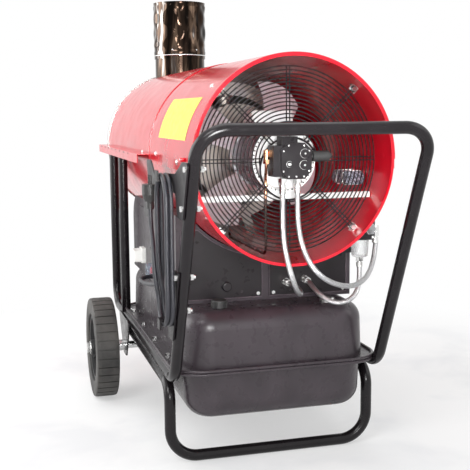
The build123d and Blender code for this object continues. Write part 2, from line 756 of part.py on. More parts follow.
STUB_R = FLUE_R - FLUE_WALL - LAP_GAP
STUB_TOP = AXIS_Z + CASING_R + 30
with BuildPart() as heat_exchanger:
    with BuildSketch(HALF_SECTION):
        with Locations(((DRUM_IN + DRUM_OUT) / 2, (DRUM_Y + DRUM_END) / 2)):
            Rectangle(DRUM_OUT - DRUM_IN, DRUM_END - DRUM_Y)
            Rectangle(DRUM_OUT - DRUM_IN - 2 * STEEL, DRUM_END - DRUM_Y - 2 * STEEL, mode=Mode.SUBTRACT)
    revolve(axis=BODY_AXIS)
    # ducts from the chamber to the drum
    for angle in (0, 90, 180, 270):
        duct = Plane(
            origin=(0, DRUM_Y + 60, AXIS_Z),
            z_dir=(cos(radians(angle)), 0, sin(radians(angle))),
            x_dir=(0, 1, 0),
        ).offset(CHAMBER_R - 20)
        with BuildSketch(duct):
            Circle(30)
        extrude(amount=DRUM_IN - CHAMBER_R + 20 + STEEL / 2)
        with BuildSketch(duct):
            Circle(30 - STEEL)
        extrude(amount=DRUM_IN - CHAMBER_R + 20 + 4, mode=Mode.SUBTRACT)
    with BuildSketch(across(DRUM_Y)):
        Circle(CHAMBER_R + LAP_GAP)
    extrude(amount=-200, mode=Mode.SUBTRACT)
    # flue stub out through the casing
    with BuildSketch(Plane.XY.offset(AXIS_Z + DRUM_OUT - 12)):
        with Locations((0, FLUE_Y)):
            Circle(STUB_R)
    extrude(amount=STUB_TOP - AXIS_Z - DRUM_OUT + 12)
    with BuildSketch(Plane.XY.offset(AXIS_Z + DRUM_IN + 4)):
        with Locations((0, FLUE_Y)):
            Circle(STUB_R - FLUE_WALL)
    extrude(amount=STUB_TOP - AXIS_Z - DRUM_IN, mode=Mode.SUBTRACT)
    # stand-off feet to the casing's lower half
    for y in (DRUM_Y + 80, DRUM_END - 80):
        with BuildSketch(across(y)):
            with PolarLocations((DRUM_OUT + FRONT_LOWER_IN) / 2, 3, 210, 120):
                Rectangle(FRONT_LOWER_IN - DRUM_OUT + 2, 24)
            Circle(FRONT_LOWER_IN - LAP_GAP, mode=Mode.INTERSECT)
            Circle(DRUM_OUT - 1, mode=Mode.SUBTRACT)
        extrude(amount=-3)
finish("heat_exchanger", heat_exchanger)

with BuildPart() as flue_collar:
    with BuildSketch(Plane.XY.offset(AXIS_Z + 190)):
        with Locations((0, FLUE_Y)):
            Circle(FLUE_R)
            Circle(FLUE_R - FLUE_WALL, mode=Mode.SUBTRACT)
    extrude(amount=COLLAR_TOP - AXIS_Z - 190)
    with BuildSketch(across(FLUE_Y - 120)):
        Circle(FRONT_UPPER_OUT + LAP_GAP)
    extrude(amount=-240, mode=Mode.SUBTRACT)
finish("flue_collar", flue_collar)

PIPE_IN = FLUE_R + LAP_GAP
PIPE_OUT = PIPE_IN + 3.0
SOCKET = 8.0
SOCKET_FIT = 0.15
STOP_T = 3.0               # inner bead that rests on the collar
DIMPLES = 12
DIMPLE_DEEP = 2.2
DIMPLE_ROUND = 58.0
with BuildPart() as flue_pipe:
    with BuildSketch(Plane.XY.offset(COLLAR_TOP - SOCKET)):
        with Locations((0, FLUE_Y)):
            Circle(PIPE_OUT)
            Circle(FLUE_R - FLUE_WALL, mode=Mode.SUBTRACT)
    extrude(amount=FLUE_TOP - COLLAR_TOP + SOCKET)
    with BuildSketch(Plane.XY.offset(COLLAR_TOP - SOCKET)):
        with Locations((0, FLUE_Y)):
            Circle(FLUE_R + SOCKET_FIT)
    extrude(amount=SOCKET, mode=Mode.SUBTRACT)
    with BuildSketch(Plane.XY.offset(COLLAR_TOP + STOP_T)):
        with Locations((0, FLUE_Y)):
            Circle(PIPE_IN)
    extrude(amount=FLUE_TOP - COLLAR_TOP - STOP_T, mode=Mode.SUBTRACT)
    # staggered rows of long dimples
    for row, height in enumerate((968.0, 1002.0, 1036.0)):
        for step in range(DIMPLES):
            turn = (step + 0.5 * (row % 2)) * 360 / DIMPLES
            dimple = Plane(
                origin=(0, FLUE_Y, height),
                z_dir=(-sin(radians(turn)), cos(radians(turn)), 0),
                x_dir=(cos(radians(turn)), sin(radians(turn)), 0),
            )
            with BuildSketch(dimple):
                with Locations((PIPE_OUT - DIMPLE_DEEP + DIMPLE_ROUND, 0)):
                    Circle(DIMPLE_ROUND)
            extrude(amount=8, both=True, mode=Mode.SUBTRACT)
finish("flue_pipe", flue_pipe)

# --- fuel tank --------------------------------------------------------------
TANK_CORNER = 62.0
TANK_MID = TANK_Y + TANK_LENGTH / 2
FLANGE_Y = 12.0
FLANGE_CORNER = 88.0


def pan(half_width, start, length, base, depth, corner, edge):
    """Pressed pan: a rounded box drawn from the seam plane, edges rounded."""
    with BuildPart(mode=Mode.PRIVATE) as made:
        with BuildSketch(Plane.XY.offset(base)):
            with Locations((0, start + length / 2)):
                RectangleRounded(2 * half_width, length, corner)
        extrude(amount=depth, taper=2)
        far = made.faces().sort_by(Axis.Z)[-1 if depth > 0 else 0]
        fillet(far.edges(), edge)
    return made.part


def flange(base):
    """Seam flange of one tank half, notched for the middle posts."""
    with BuildPart(mode=Mode.PRIVATE) as made:
        with BuildSketch(Plane.XY.offset(base)):
            with Locations((0, TANK_MID)):
                RectangleRounded(2 * (TANK_X + FLANGE_W), TANK_LENGTH + 2 * FLANGE_Y, FLANGE_CORNER)
            with Locations((FRAME_X, MIDDLE_POST_Y), (-FRAME_X, MIDDLE_POST_Y)):
                Rectangle(2 * TUBE_R + 6, 2 * TUBE_R + 6, mode=Mode.SUBTRACT)
        extrude(amount=TANK_WALL)
    return made.part


NECK_X = -122.0
NECK_Y = REAR_Y + 158
NECK_R = 13.0
NECK_TOP = TANK_TOP + 7
GAUGE_X = 128.0
GAUGE_Y = REAR_Y + 150
W = TANK_WALL
with BuildPart() as tank_upper:
    add(flange(TANK_SEAM))
    add(pan(TANK_X, TANK_Y, TANK_LENGTH, TANK_SEAM, TANK_TOP - TANK_SEAM, TANK_CORNER, 40))
    with BuildSketch(Plane.XY.offset(TANK_TOP - 3)):
        with Locations((NECK_X, NECK_Y)):
            Circle(NECK_R)
    extrude(amount=NECK_TOP - TANK_TOP + 3)
    add(
        pan(TANK_X - W, TANK_Y + W, TANK_LENGTH - 2 * W, TANK_SEAM - 1,
            TANK_TOP - TANK_SEAM + 1 - W, TANK_CORNER - W, 40 - W),
        mode=Mode.SUBTRACT,
    )
    with BuildSketch(Plane.XY.offset(NECK_TOP)):
        with Locations((NECK_X, NECK_Y)):
            Circle(NECK_R - 2)
    extrude(amount=-20, mode=Mode.SUBTRACT)
finish("tank_upper", tank_upper)

LOWER_X = TANK_X - 4
STEP_Y = TANK_Y + TANK_DEEP
TANK_FOOT = 44.0           # rounding along the lower half's bottom edge


def lower_pan(inset):
    """Lower half's outer form, or its hollow when inset by the wall."""
    with BuildPart(mode=Mode.PRIVATE) as made:
        add(
            pan(LOWER_X - inset, TANK_Y + 2 + inset, TANK_LENGTH - 4 - 2 * inset, TANK_SEAM + inset,
                TANK_BOTTOM - TANK_SEAM, TANK_CORNER - inset, TANK_FOOT - inset)
        )
        with BuildSketch(Plane.XY.offset(TANK_SHALLOW + inset)):
            with Locations((0, STEP_Y + 150 - inset)):
                Rectangle(2 * TANK_X + 60, 300)
        extrude(amount=-100, mode=Mode.SUBTRACT)
    return made.part


with BuildPart() as tank_lower:
    add(flange(TANK_SEAM - W))
    add(lower_pan(0))
    add(lower_pan(W), mode=Mode.SUBTRACT)
    with BuildSketch(Plane.XY.offset(TANK_SEAM)):
        with Locations((0, TANK_MID)):
            Rectangle(600, 900)
    extrude(amount=20, mode=Mode.SUBTRACT)
finish("tank_lower", tank_lower)

CAP_R_OUT = 17.0
with BuildPart() as filler_cap:
    with BuildSketch(Plane.XY.offset(TANK_TOP + 1)):
        with Locations((NECK_X, NECK_Y)):
            Circle(CAP_R_OUT)
    extrude(amount=17)
    fillet(filler_cap.faces().sort_by(Axis.Z)[-1].edges(), 3)
    with BuildSketch(Plane.XY.offset(TANK_TOP + 1)):
        with Locations((NECK_X, NECK_Y)):
            with PolarLocations(CAP_R_OUT, 18):
                Rectangle(2, 2)
    extrude(amount=12)
    with BuildSketch(Plane.XY.offset(TANK_TOP + 1)):
        with Locations((NECK_X, NECK_Y)):
            Circle(NECK_R + RUN_FIT)
    extrude(amount=NECK_TOP - TANK_TOP - 1 + 0.3, mode=Mode.SUBTRACT)
finish("filler_cap", filler_cap)

with BuildPart() as tank_fittings:
    # level gauge on top at the right, drain plug underneath
    with BuildSketch(Plane.XY.offset(TANK_TOP)):
        with Locations((GAUGE_X, GAUGE_Y)):
            Circle(19)
    extrude(amount=5)
    with BuildSketch(Plane.XY.offset(TANK_TOP + 5)):
        with Locations((GAUGE_X, GAUGE_Y)):
            Circle(13)
    extrude(amount=4)
    chamfer(tank_fittings.edges().filter_by(GeomType.CIRCLE).group_by(Axis.Z)[-1], 1.5)
    with BuildSketch(Plane.XY.offset(TANK_BOTTOM)):
        with Locations((-20, TANK_Y + 110)):
            RegularPolygon(13, 6)
    extrude(amount=-7)
finish("tank_fittings", tank_fittings)

# --- housing under the casing, with its panels and controls -----------------
HOUSING_X = 205.0
HOUSING_LENGTH = 570.0
HOUSING_TOP = 545.0
HOUSING_LOW = TANK_TOP + 0.3
HOUSING_CORNER = 66.0
SADDLE_R = FRONT_LOWER_OUT + LAP_GAP


def saddle_block(inset):
    """Housing's outer form: a block hollowed by the casing, front corner round."""
    low = HOUSING_LOW + inset
    top = HOUSING_TOP - inset
    start = HOUSING_Y + inset
    end = HOUSING_Y + HOUSING_LENGTH - inset
    corner = HOUSING_CORNER - inset
    with BuildPart(mode=Mode.PRIVATE) as made:
        with BuildSketch(upright_plane(-HOUSING_X + inset)):
            with BuildLine():
                Polyline((end, top - corner), (end, low), (start, low), (start, top), (end - corner, top))
                RadiusArc((end - corner, top), (end, top - corner), corner)
            make_face()
        extrude(amount=2 * (HOUSING_X - inset))
        with BuildSketch(across(start - 1)):
            Circle(SADDLE_R + inset)
        extrude(amount=-(end - start + 2), mode=Mode.SUBTRACT)
    return made.part


with BuildPart() as housing:
    add(saddle_block(0))
    add(saddle_block(SHEET), mode=Mode.SUBTRACT)
finish("housing", housing)

with BuildPart() as rear_panels:
    with BuildSketch(across(PANEL_Y)):
        with Locations((-102, 432 - AXIS_Z)):
            Rectangle(188, 158)
        with Locations((102, 432 - AXIS_Z)):
            Rectangle(188, 158)
        Circle(SADDLE_R + 6, mode=Mode.SUBTRACT)
        with Locations((-56, 368 - AXIS_Z), (58, 366 - AXIS_Z)):
            Circle(3, mode=Mode.SUBTRACT)
    extrude(amount=-PANEL_T)
    with BuildSketch(across(PANEL_Y)):
        with Locations((-92, 382 - AXIS_Z)):
            Circle(11)
    extrude(amount=12)
    fillet(rear_panels.faces().sort_by(Axis.Y)[0].edges(), 3)
finish("rear_panels", rear_panels)

SIDE = -HOUSING_X          # outer face of the housing's left side
CONTROL_Y = REAR_Y + 520
CONTROL_W = 340.0
CONTROL_Z = 440.0
CONTROL_H = 168.0
SWITCH_Y = REAR_Y + 470
SWITCH_Z = 425.0
RESET_Y = REAR_Y + 425
RESET_Z = 388.0
with BuildPart() as control_panel:
    with BuildSketch(upright_plane(SIDE)):
        with Locations((CONTROL_Y, CONTROL_Z)):
            RectangleRounded(CONTROL_W, CONTROL_H, 12)
    extrude(amount=-2)
    fillet(control_panel.faces().sort_by(Axis.X)[0].edges(), 1.2)
    # switch bezel
    with BuildSketch(upright_plane(SIDE - 2)):
        with Locations((SWITCH_Y, SWITCH_Z)):
            RectangleRounded(24, 34, 2)
            Rectangle(16.4, 26.4, mode=Mode.SUBTRACT)
    extrude(amount=-3)
    # cord gland
    with BuildSketch(upright_plane(SIDE - 2)):
        with Locations((REAR_Y + 372, 384)):
            RegularPolygon(10, 6)
    extrude(amount=-5)
finish("control_panel", control_panel)

ROCKER_X = SIDE - 2 - 3
ROCKER_LEAN = radians(8)   # rests in its off position, lower end pressed
with BuildPart() as main_switch:
    # rocker drawn about its pivot: shallow valleys at the front and at the back
    lean = Plane(
        origin=(ROCKER_X, SWITCH_Y - 8, SWITCH_Z),
        x_dir=(-cos(ROCKER_LEAN), 0, -sin(ROCKER_LEAN)),
        z_dir=(0, 1, 0),
    )
    with BuildSketch(lean):
        with BuildLine():
            Polyline((-2.2, 0), (0.2, -12.3), (3.4, -12.3), (1.6, 0), (3.4, 12.3), (0.2, 12.3), close=True)
        make_face()
    extrude(amount=16)
finish("main_switch", main_switch)

with BuildPart() as signal_lamp:
    with BuildSketch(upright_plane(SIDE - 2)):
        with Locations((RESET_Y + 8, SWITCH_Z + 14)):
            Circle(8)
    extrude(amount=-3)
    with BuildSketch(upright_plane(SIDE - 5)):
        with Locations((RESET_Y + 8, SWITCH_Z + 14)):
            Circle(6)
    extrude(amount=-7)
    fillet(signal_lamp.edges().filter_by(GeomType.CIRCLE).sort_by(Axis.X)[0], 3.5)
finish("signal_lamp", signal_lamp)

RESET_R = 9.0
RESET_TRAVEL = 4.0
with BuildPart() as reset_guard:
    # clear collar that keeps the reset button from being knocked
    with BuildSketch(upright_plane(SIDE - 2)):
        with Locations((RESET_Y, RESET_Z)):
            Circle(19)
            Circle(16.5, mode=Mode.SUBTRACT)
    extrude(amount=-26)
    with BuildSketch(upright_plane(SIDE - 2)):
        with Locations((RESET_Y, RESET_Z)):
            Circle(19)
            Circle(RESET_R + RUN_FIT, mode=Mode.SUBTRACT)
    extrude(amount=-RESET_TRAVEL - 4)
finish("reset_guard", reset_guard)

with BuildPart() as reset_button:
    with BuildSketch(upright_plane(SIDE - 2 - RESET_TRAVEL - 0.3)):
        with Locations((RESET_Y, RESET_Z)):
            Circle(RESET_R)
    extrude(amount=-12)
    fillet(reset_button.edges().filter_by(GeomType.CIRCLE).sort_by(Axis.X)[0], 1.5)
finish("reset_button", reset_button)

SOCKET_Y = REAR_Y + 600
SOCKET_Z = 400.0
with BuildPart() as thermostat_socket:
    with BuildSketch(upright_plane(SIDE - 2)):
        with Locations((SOCKET_Y, SOCKET_Z)):
            RectangleRounded(40, 40, 4)
    extrude(amount=-10)
    with BuildSketch(upright_plane(SIDE - 12)):
        with Locations((SOCKET_Y, SOCKET_Z)):
            RectangleRounded(34, 34, 4)
    extrude(amount=-22, taper=4)
    fillet(thermostat_socket.faces().sort_by(Axis.X)[0].edges(), 3)
finish("thermostat_socket", thermostat_socket)

# --- frame ------------------------------------------------------------------
RISE = Vector(0, HANDLE_Y - RAIL_Y, HANDLE_Z - RAIL_Z)
JOINT_AT = 0.2             # where the upper loop is let into the side tubes
INNER_R = TUBE_R - TUBE_WALL


def on_upright(x, share):
    return (x, RAIL_Y + RISE.Y * share, RAIL_Z + RISE.Z * share)


with BuildPart() as handle_frame:
    add(
        tube(
            [
                on_upright(-FRAME_X, JOINT_AT),
                on_upright(-FRAME_X, 1),
                on_upright(FRAME_X, 1),
                on_upright(FRAME_X, JOINT_AT),
            ],
            HANDLE_BEND, TUBE_R, INNER_R,
        )
    )
finish("handle_frame", handle_frame)

POST_TOP = AXIS_Z - SHEET - 0.2
with BuildPart() as side_tubes:
    for x in (-FRAME_X, FRAME_X):
        add(
            tube(
                [
                    on_upright(x, JOINT_AT),
                    (x, RAIL_Y, RAIL_Z),
                    (x, POST_Y, RAIL_Z),
                    (x, POST_Y, POST_TOP),
                ],
                RAIL_BEND, TUBE_R, INNER_R,
            )
        )
finish("side_tubes", side_tubes)

with BuildPart() as middle_posts:
    with BuildSketch(Plane.XY.offset(RAIL_Z)):
        with Locations((-FRAME_X, MIDDLE_POST_Y), (FRAME_X, MIDDLE_POST_Y)):
            Circle(TUBE_R)
            Circle(INNER_R, mode=Mode.SUBTRACT)
    extrude(amount=POST_TOP - RAIL_Z)
    with BuildSketch(across(MIDDLE_POST_Y - 30)):
        with Locations((-FRAME_X, RAIL_Z - AXIS_Z), (FRAME_X, RAIL_Z - AXIS_Z)):
            Circle(TUBE_R + 0.1)
    extrude(amount=-60, mode=Mode.SUBTRACT)
finish("middle_posts", middle_posts)

FOOT_FROM_RIM = 171.0
FOOT_Y = REAR_Y + FOOT_FROM_RIM
FOOT_RAIL_Z = RAIL_Z - 2 * TUBE_R - 0.1
FOOT_RAIL_END = AXLE_Y - 14
FOOT_BEND = 62.0
KNEE_BEND = 44.0
with BuildPart() as foot_frame:
    add(
        tube(
            [
                (-FRAME_X, FOOT_RAIL_END, FOOT_RAIL_Z),
                (-FRAME_X, FOOT_Y, FOOT_RAIL_Z),
                (-FRAME_X, FOOT_Y, TUBE_R),
                (FRAME_X, FOOT_Y, TUBE_R),
                (FRAME_X, FOOT_Y, FOOT_RAIL_Z),
                (FRAME_X, FOOT_RAIL_END, FOOT_RAIL_Z),
            ],
            [KNEE_BEND, FOOT_BEND, FOOT_BEND, KNEE_BEND], TUBE_R, INNER_R,
        )
    )
finish("foot_frame", foot_frame)

BRACKET_X = FRAME_X + TUBE_R + 0.1
BRACKET_T = 4.0
with BuildPart() as axle_brackets:
    for x in (-BRACKET_X - BRACKET_T, BRACKET_X):
        with BuildSketch(upright_plane(x)) as cheek:
            with BuildLine():
                Polyline(
                    (AXLE_Y - 76, RAIL_Z + 8),
                    (AXLE_Y + 92, RAIL_Z + 8),
                    (AXLE_Y + 78, RAIL_Z - 18),
                    (AXLE_Y + 22, WHEEL_R - 26),
                    (AXLE_Y - 22, WHEEL_R - 26),
                    (AXLE_Y - 70, RAIL_Z - 18),
                    close=True,
                )
            make_face()
            fillet(cheek.vertices(), 9)
            with Locations((AXLE_Y, WHEEL_R)):
                Circle(AXLE_R + RUN_FIT, mode=Mode.SUBTRACT)
        extrude(amount=BRACKET_T)
finish("axle_brackets", axle_brackets)

# --- axle and wheels --------------------------------------------------------
HUB_W = 62.0
HUB_R = 21.0
AXLE_END = WHEEL_X + HUB_W / 2 + 4
SLEEVE_R = 15.0
AXLE_LINE = Axis((0, AXLE_Y, WHEEL_R), (1, 0, 0))
with BuildPart() as axle:
    with BuildSketch(upright_plane(-AXLE_END)):
        with Locations((AXLE_Y, WHEEL_R)):
            Circle(AXLE_R)
    extrude(amount=2 * AXLE_END)
    # sleeves between the brackets and the hubs
    for x in (BRACKET_X + BRACKET_T + 0.1, -(WHEEL_X - HUB_W / 2) + 0.3):
        with BuildSketch(upright_plane(x)):
            with Locations((AXLE_Y, WHEEL_R)):
                Circle(SLEEVE_R)
        extrude(amount=WHEEL_X - HUB_W / 2 - BRACKET_X - BRACKET_T - 0.4)
finish("axle", axle)

TYRE_IN = 90.0
GROOVES = 36
RIM_FIT = 0.2


def tyre(x):
    """Solid rubber tyre with rounded shoulders and cross grooves."""
    with BuildPart(mode=Mode.PRIVATE) as made:
        with BuildSketch(Plane(origin=(x, AXLE_Y, WHEEL_R), x_dir=(1, 0, 0), z_dir=(0, -1, 0))) as band:
            with Locations((0, (TYRE_IN + WHEEL_R) / 2)):
                Rectangle(WHEEL_W, WHEEL_R - TYRE_IN)
            fillet(band.vertices().group_by(Axis.Z)[-1], 7)
            chamfer(band.vertices().group_by(Axis.Z)[0], 4)
        revolve(axis=AXLE_LINE)
        with BuildSketch(upright_plane(x - WHEEL_W / 2)):
            with Locations((AXLE_Y, WHEEL_R)):
                with PolarLocations(WHEEL_R, GROOVES):
                    Rectangle(4.4, 3.2)
        extrude(amount=WHEEL_W, mode=Mode.SUBTRACT)
    return made.part


def wheel_rim(x, side):
    """Moulded rim: ring, dished web with five windows, and a hub."""
    with BuildPart(mode=Mode.PRIVATE) as made:
        with BuildSketch(Plane(origin=(x, AXLE_Y, WHEEL_R), x_dir=(1, 0, 0), z_dir=(0, -1, 0))):
            with Locations((0, TYRE_IN - RIM_FIT - 5)):
                Rectangle(WHEEL_W - 14, 10)
            with Locations((side * 6, (HUB_R + TYRE_IN) / 2 - 4)):
                Rectangle(6, TYRE_IN - HUB_R - 6)
            with Locations((0, (HUB_R + AXLE_R + RUN_FIT) / 2)):
                Rectangle(HUB_W, HUB_R - AXLE_R - RUN_FIT)
        revolve(axis=AXLE_LINE)
        with BuildSketch(upright_plane(x - 20 + side * 6)):
            with Locations((AXLE_Y, WHEEL_R)):
                with PolarLocations((HUB_R + TYRE_IN) / 2 - 1, 5):
                    RectangleRounded(34, 44, 12)
        extrude(amount=40, mode=Mode.SUBTRACT)
        # ribs down the spokes
        with BuildSketch(upright_plane(x + side * 9 - (0 if side > 0 else 8))):
            with Locations((AXLE_Y, WHEEL_R)):
                with PolarLocations((HUB_R + TYRE_IN) / 2 - 4, 5, 36):
                    Rectangle(TYRE_IN - HUB_R - 8, 4)
        extrude(amount=8)
    return made.part


for name, side in (("left", -1), ("right", 1)):
    with BuildPart() as rubber:
        add(tyre(side * WHEEL_X))
    finish(f"{name}_tyre", rubber)
    with BuildPart() as rim_part:
        add(wheel_rim(side * WHEEL_X, side))
    finish(f"{name}_rim", rim_part)

# dome nuts on the axle's ends, with washers against the hubs
with BuildPart() as axle_nuts:
    for side in (-1, 1):
        face = side * (WHEEL_X + HUB_W / 2 + 0.3)
        with BuildSketch(upright_plane(face)):
            with Locations((AXLE_Y, WHEEL_R)):
                Circle(17)
                Circle(AXLE_R, mode=Mode.SUBTRACT)
        extrude(amount=side * 2)
        with BuildSketch(upright_plane(face + side * 2)):
            with Locations((AXLE_Y, WHEEL_R)):
                RegularPolygon(15, 6)
        extrude(amount=side * 9)
        with BuildSketch(upright_plane(face)):
            with Locations((AXLE_Y, WHEEL_R)):
                Circle(AXLE_R)
        extrude(amount=side * (AXLE_END - abs(face)), mode=Mode.SUBTRACT)
finish("axle_nuts", axle_nuts)

# --- cable hook and cable ---------------------------------------------------
PLATE_T = 3.0
PLATE_X = -(FRAME_X + TUBE_R + 0.1) - PLATE_T
HANK_IN = PLATE_X - 0.5    # hank's face next to the hook plate
HANK_THICK = 20.0
HANK_LOW = 335.0
HANK_TOP = 650.0
HANK_W = 108.0
HANK_RING = 12.0
HANK_Y = REAR_Y + 64
TONGUE_T = 4.0
TONGUE_W = 24.0
BEND_IN = HANK_W / 2 - HANK_RING
TONGUE_DROP = BEND_IN - sqrt(BEND_IN ** 2 - TONGUE_W ** 2 / 4) + 0.3
with BuildPart() as cable_hooks:
    # forked plate on the left upright
    with BuildSketch(upright_plane(PLATE_X)) as fork:
        with BuildLine():
            Polyline(
                (REAR_Y - 112, 676),
                (REAR_Y - 66, 676),
                (REAR_Y + 2, 650),
                (REAR_Y + 84, 646),
                (REAR_Y + 200, 622),
                (REAR_Y + 262, 664),
                (REAR_Y + 312, 664),
                (REAR_Y + 288, 600),
                (REAR_Y + 362, 548),
                (REAR_Y + 348, 530),
                (REAR_Y + 306, 534),
                (REAR_Y + 180, 588),
                (REAR_Y + 84, 612),
                (REAR_Y + 2, 612),
                (REAR_Y - 14, 566),
                (REAR_Y - 62, 566),
                close=True,
            )
        make_face()
        fillet(fork.vertices(), 8)
    extrude(amount=PLATE_T)
    # lower plate, set along the same upright
    with BuildSketch(upright_plane(PLATE_X)) as strip:
        with BuildLine():
            Polyline(
                (REAR_Y - 14, 458),
                (REAR_Y + 24, 458),
                (REAR_Y + 100, 330),
                (REAR_Y + 98, 306),
                (REAR_Y + 52, 306),
                close=True,
            )
        make_face()
        fillet(strip.vertices(), 5)
    extrude(amount=PLATE_T)
    # tongues that the hank is wound over, each with its tip bent to hold it
    for z, bend in (
        (HANK_TOP - HANK_RING - TONGUE_DROP - TONGUE_T / 2, 1),
        (HANK_LOW + HANK_RING + TONGUE_DROP + TONGUE_T / 2, -1),
    ):
        with BuildSketch(upright_plane(PLATE_X - HANK_THICK - 6)):
            with Locations((HANK_Y, z)):
                Rectangle(TONGUE_W, TONGUE_T)
        extrude(amount=HANK_THICK + 6)
        with BuildSketch(upright_plane(PLATE_X - HANK_THICK - 6)):
            with Locations((HANK_Y, z + bend * (11 - TONGUE_T / 2))):
                Rectangle(TONGUE_W, 22)
        extrude(amount=4)
finish("cable_hooks", cable_hooks)

with BuildPart() as cable_hank:
    with BuildSketch(upright_plane(HANK_IN - HANK_THICK)):
        with Locations((HANK_Y, (HANK_LOW + HANK_TOP) / 2)):
            SlotOverall(HANK_TOP - HANK_LOW, HANK_W, rotation=90)
            SlotOverall(HANK_TOP - HANK_LOW - 2 * HANK_RING, HANK_W - 2 * HANK_RING, rotation=90, mode=Mode.SUBTRACT)
    extrude(amount=HANK_THICK)
finish("cable_hank", cable_hank)

HANK_MID = HANK_IN - HANK_THICK / 2
HANK_FRONT = HANK_Y + HANK_W / 2
GLAND_END = SIDE - 2 - 5
LEAD_ROUTE = [
    (GLAND_END, REAR_Y + 372, 384),
    (GLAND_END - 20, REAR_Y + 372, 384),
    (GLAND_END - 38, REAR_Y + 358, 383),
    (HANK_MID + 2, REAR_Y + 334, 382),
    (HANK_MID - 1, REAR_Y + 300, 384),
    (HANK_MID - 1, REAR_Y + 254, 390),
    (HANK_MID, REAR_Y + 204, 398),
    (HANK_MID, REAR_Y + 160, 402),
    (HANK_MID, HANK_FRONT, 402),
]
TAIL_ROUTE = [
    (HANK_MID, HANK_FRONT, 500),
    (HANK_MID, HANK_FRONT + 18, 500),
    (HANK_MID - 3, HANK_FRONT + 37, 508),
    (HANK_MID - 7, HANK_FRONT + 50, 525),
    (HANK_MID - 8, HANK_FRONT + 54, 546),
    (HANK_MID - 8, HANK_FRONT + 54, 566),
]
for name, route in (("cable_lead", LEAD_ROUTE), ("cable_tail", TAIL_ROUTE)):
    radii = arc_radii(route)
    print(name, "radii", [round(r) for r in radii])
    with BuildPart() as cable:
        add(tube(route, radii, CABLE_R))
    finish(name, cable)

with BuildPart() as power_plug:
    with BuildSketch(Plane.XY.offset(566)):
        with Locations(TAIL_ROUTE[-1][:2]):
            Circle(8)
    extrude(amount=16)
    with BuildSketch(Plane.XY.offset(582)):
        with Locations(TAIL_ROUTE[-1][:2]):
            Circle(12)
    extrude(amount=14, taper=-20)
    with BuildSketch(Plane.XY.offset(596)):
        with Locations(TAIL_ROUTE[-1][:2]):
            Circle(17)
    extrude(amount=22)
    with BuildSketch(Plane.XY.offset(618)):
        with Locations(TAIL_ROUTE[-1][:2]):
            with GridLocations(0, 19, 1, 2):
                Circle(2.4)
    extrude(amount=19)
finish("power_plug", power_plug)

# --- fasteners --------------------------------------------------------------
BOLT_HEAD = 4.5
with BuildPart() as fasteners:
    # tank flange bolts on both sides
    for side in (-1, 1):
        with BuildSketch(Plane.XY.offset(TANK_SEAM + W)):
            with Locations(*[(side * (TANK_X + 11), TANK_Y + step) for step in (150, 310, 470, 630)]):
                RegularPolygon(6, 6)
        extrude(amount=BOLT_HEAD)
    # bolts across the left upright: heads on the hook plates, nuts on the tube's inner side
    for z in (664, 588, 446, 372):
        y = on_upright(0, (z - RAIL_Z) / RISE.Z)[1]
        with BuildSketch(upright_plane(PLATE_X)):
            with Locations((y, z)):
                RegularPolygon(6, 6)
        extrude(amount=-BOLT_HEAD)
        with BuildSketch(upright_plane(TUBE_R - FRAME_X)):
            with Locations((y, z)):
                RegularPolygon(6.5, 6)
        extrude(amount=6)
        with BuildSketch(upright_plane(TUBE_R - FRAME_X)):
            with Locations((y, z)):
                Circle(3.5)
        extrude(amount=10)
    # rear panel screws
    with BuildSketch(across(PANEL_Y)):
        with Locations((-186, 508 - AXIS_Z), (-186, 362 - AXIS_Z), (-18, 362 - AXIS_Z), (18, 362 - AXIS_Z), (186, 362 - AXIS_Z)):
            Circle(4)
    extrude(amount=2.5)
finish("fasteners", fasteners)

print(len(parts), "pieces")
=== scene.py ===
"""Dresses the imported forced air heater: materials, hoses, cable, plates and small hardware."""
from math import cos, pi, radians, sin, sqrt

import bmesh
import bpy
from mathutils import Matrix, Vector


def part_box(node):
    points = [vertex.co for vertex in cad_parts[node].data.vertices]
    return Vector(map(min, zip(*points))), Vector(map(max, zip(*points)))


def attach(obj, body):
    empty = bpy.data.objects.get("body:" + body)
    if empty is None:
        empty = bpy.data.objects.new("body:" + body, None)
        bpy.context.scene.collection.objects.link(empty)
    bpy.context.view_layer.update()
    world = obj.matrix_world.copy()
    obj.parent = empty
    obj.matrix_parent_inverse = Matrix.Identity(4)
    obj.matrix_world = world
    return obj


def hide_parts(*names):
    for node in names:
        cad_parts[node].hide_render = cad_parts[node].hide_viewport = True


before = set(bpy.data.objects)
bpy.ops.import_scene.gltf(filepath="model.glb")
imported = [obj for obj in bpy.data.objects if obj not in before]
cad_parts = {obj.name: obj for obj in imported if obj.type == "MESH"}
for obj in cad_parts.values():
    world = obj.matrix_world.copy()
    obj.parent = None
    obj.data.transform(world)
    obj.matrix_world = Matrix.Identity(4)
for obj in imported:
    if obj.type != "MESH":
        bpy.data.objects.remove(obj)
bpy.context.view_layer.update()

# --- driving sizes, in metres -------------------------------------------------
REAR_Y = -0.550             # face of the intake rim
AXIS_Z = 0.669              # height of the casing's axis
CASING_R = 0.215
PANEL_Y = REAR_Y + 0.208    # outer face of the two rear panels
HOSE_D = 0.011
CABLE_D = 0.0098            # the part's plain rods are 10 mm

REARWARD = (0, -1, 0)
UPWARD = (0, 0, 1)


def mm(x, y, z):
    """A point given in millimetres, its y counted from the intake rim."""
    return Vector((x, y, z)) / 1000 + Vector((0, REAR_Y, 0))


# --- camera, fitted to the photograph -----------------------------------------
CAMERA_AT = (-0.601, -2.246, 0.767)
CAMERA_YAW = 0.2716         # radians, from +Y towards +X
CAMERA_PITCH = 0.1360       # radians, downwards
CAMERA_ROLL = -0.0082       # radians
CAMERA_REACH = 60           # metres
PHOTO_WIDTH = 470           # pixels
FOCAL_LENGTH = 898.6        # pixels
SENSOR_WIDTH = 36           # millimetres


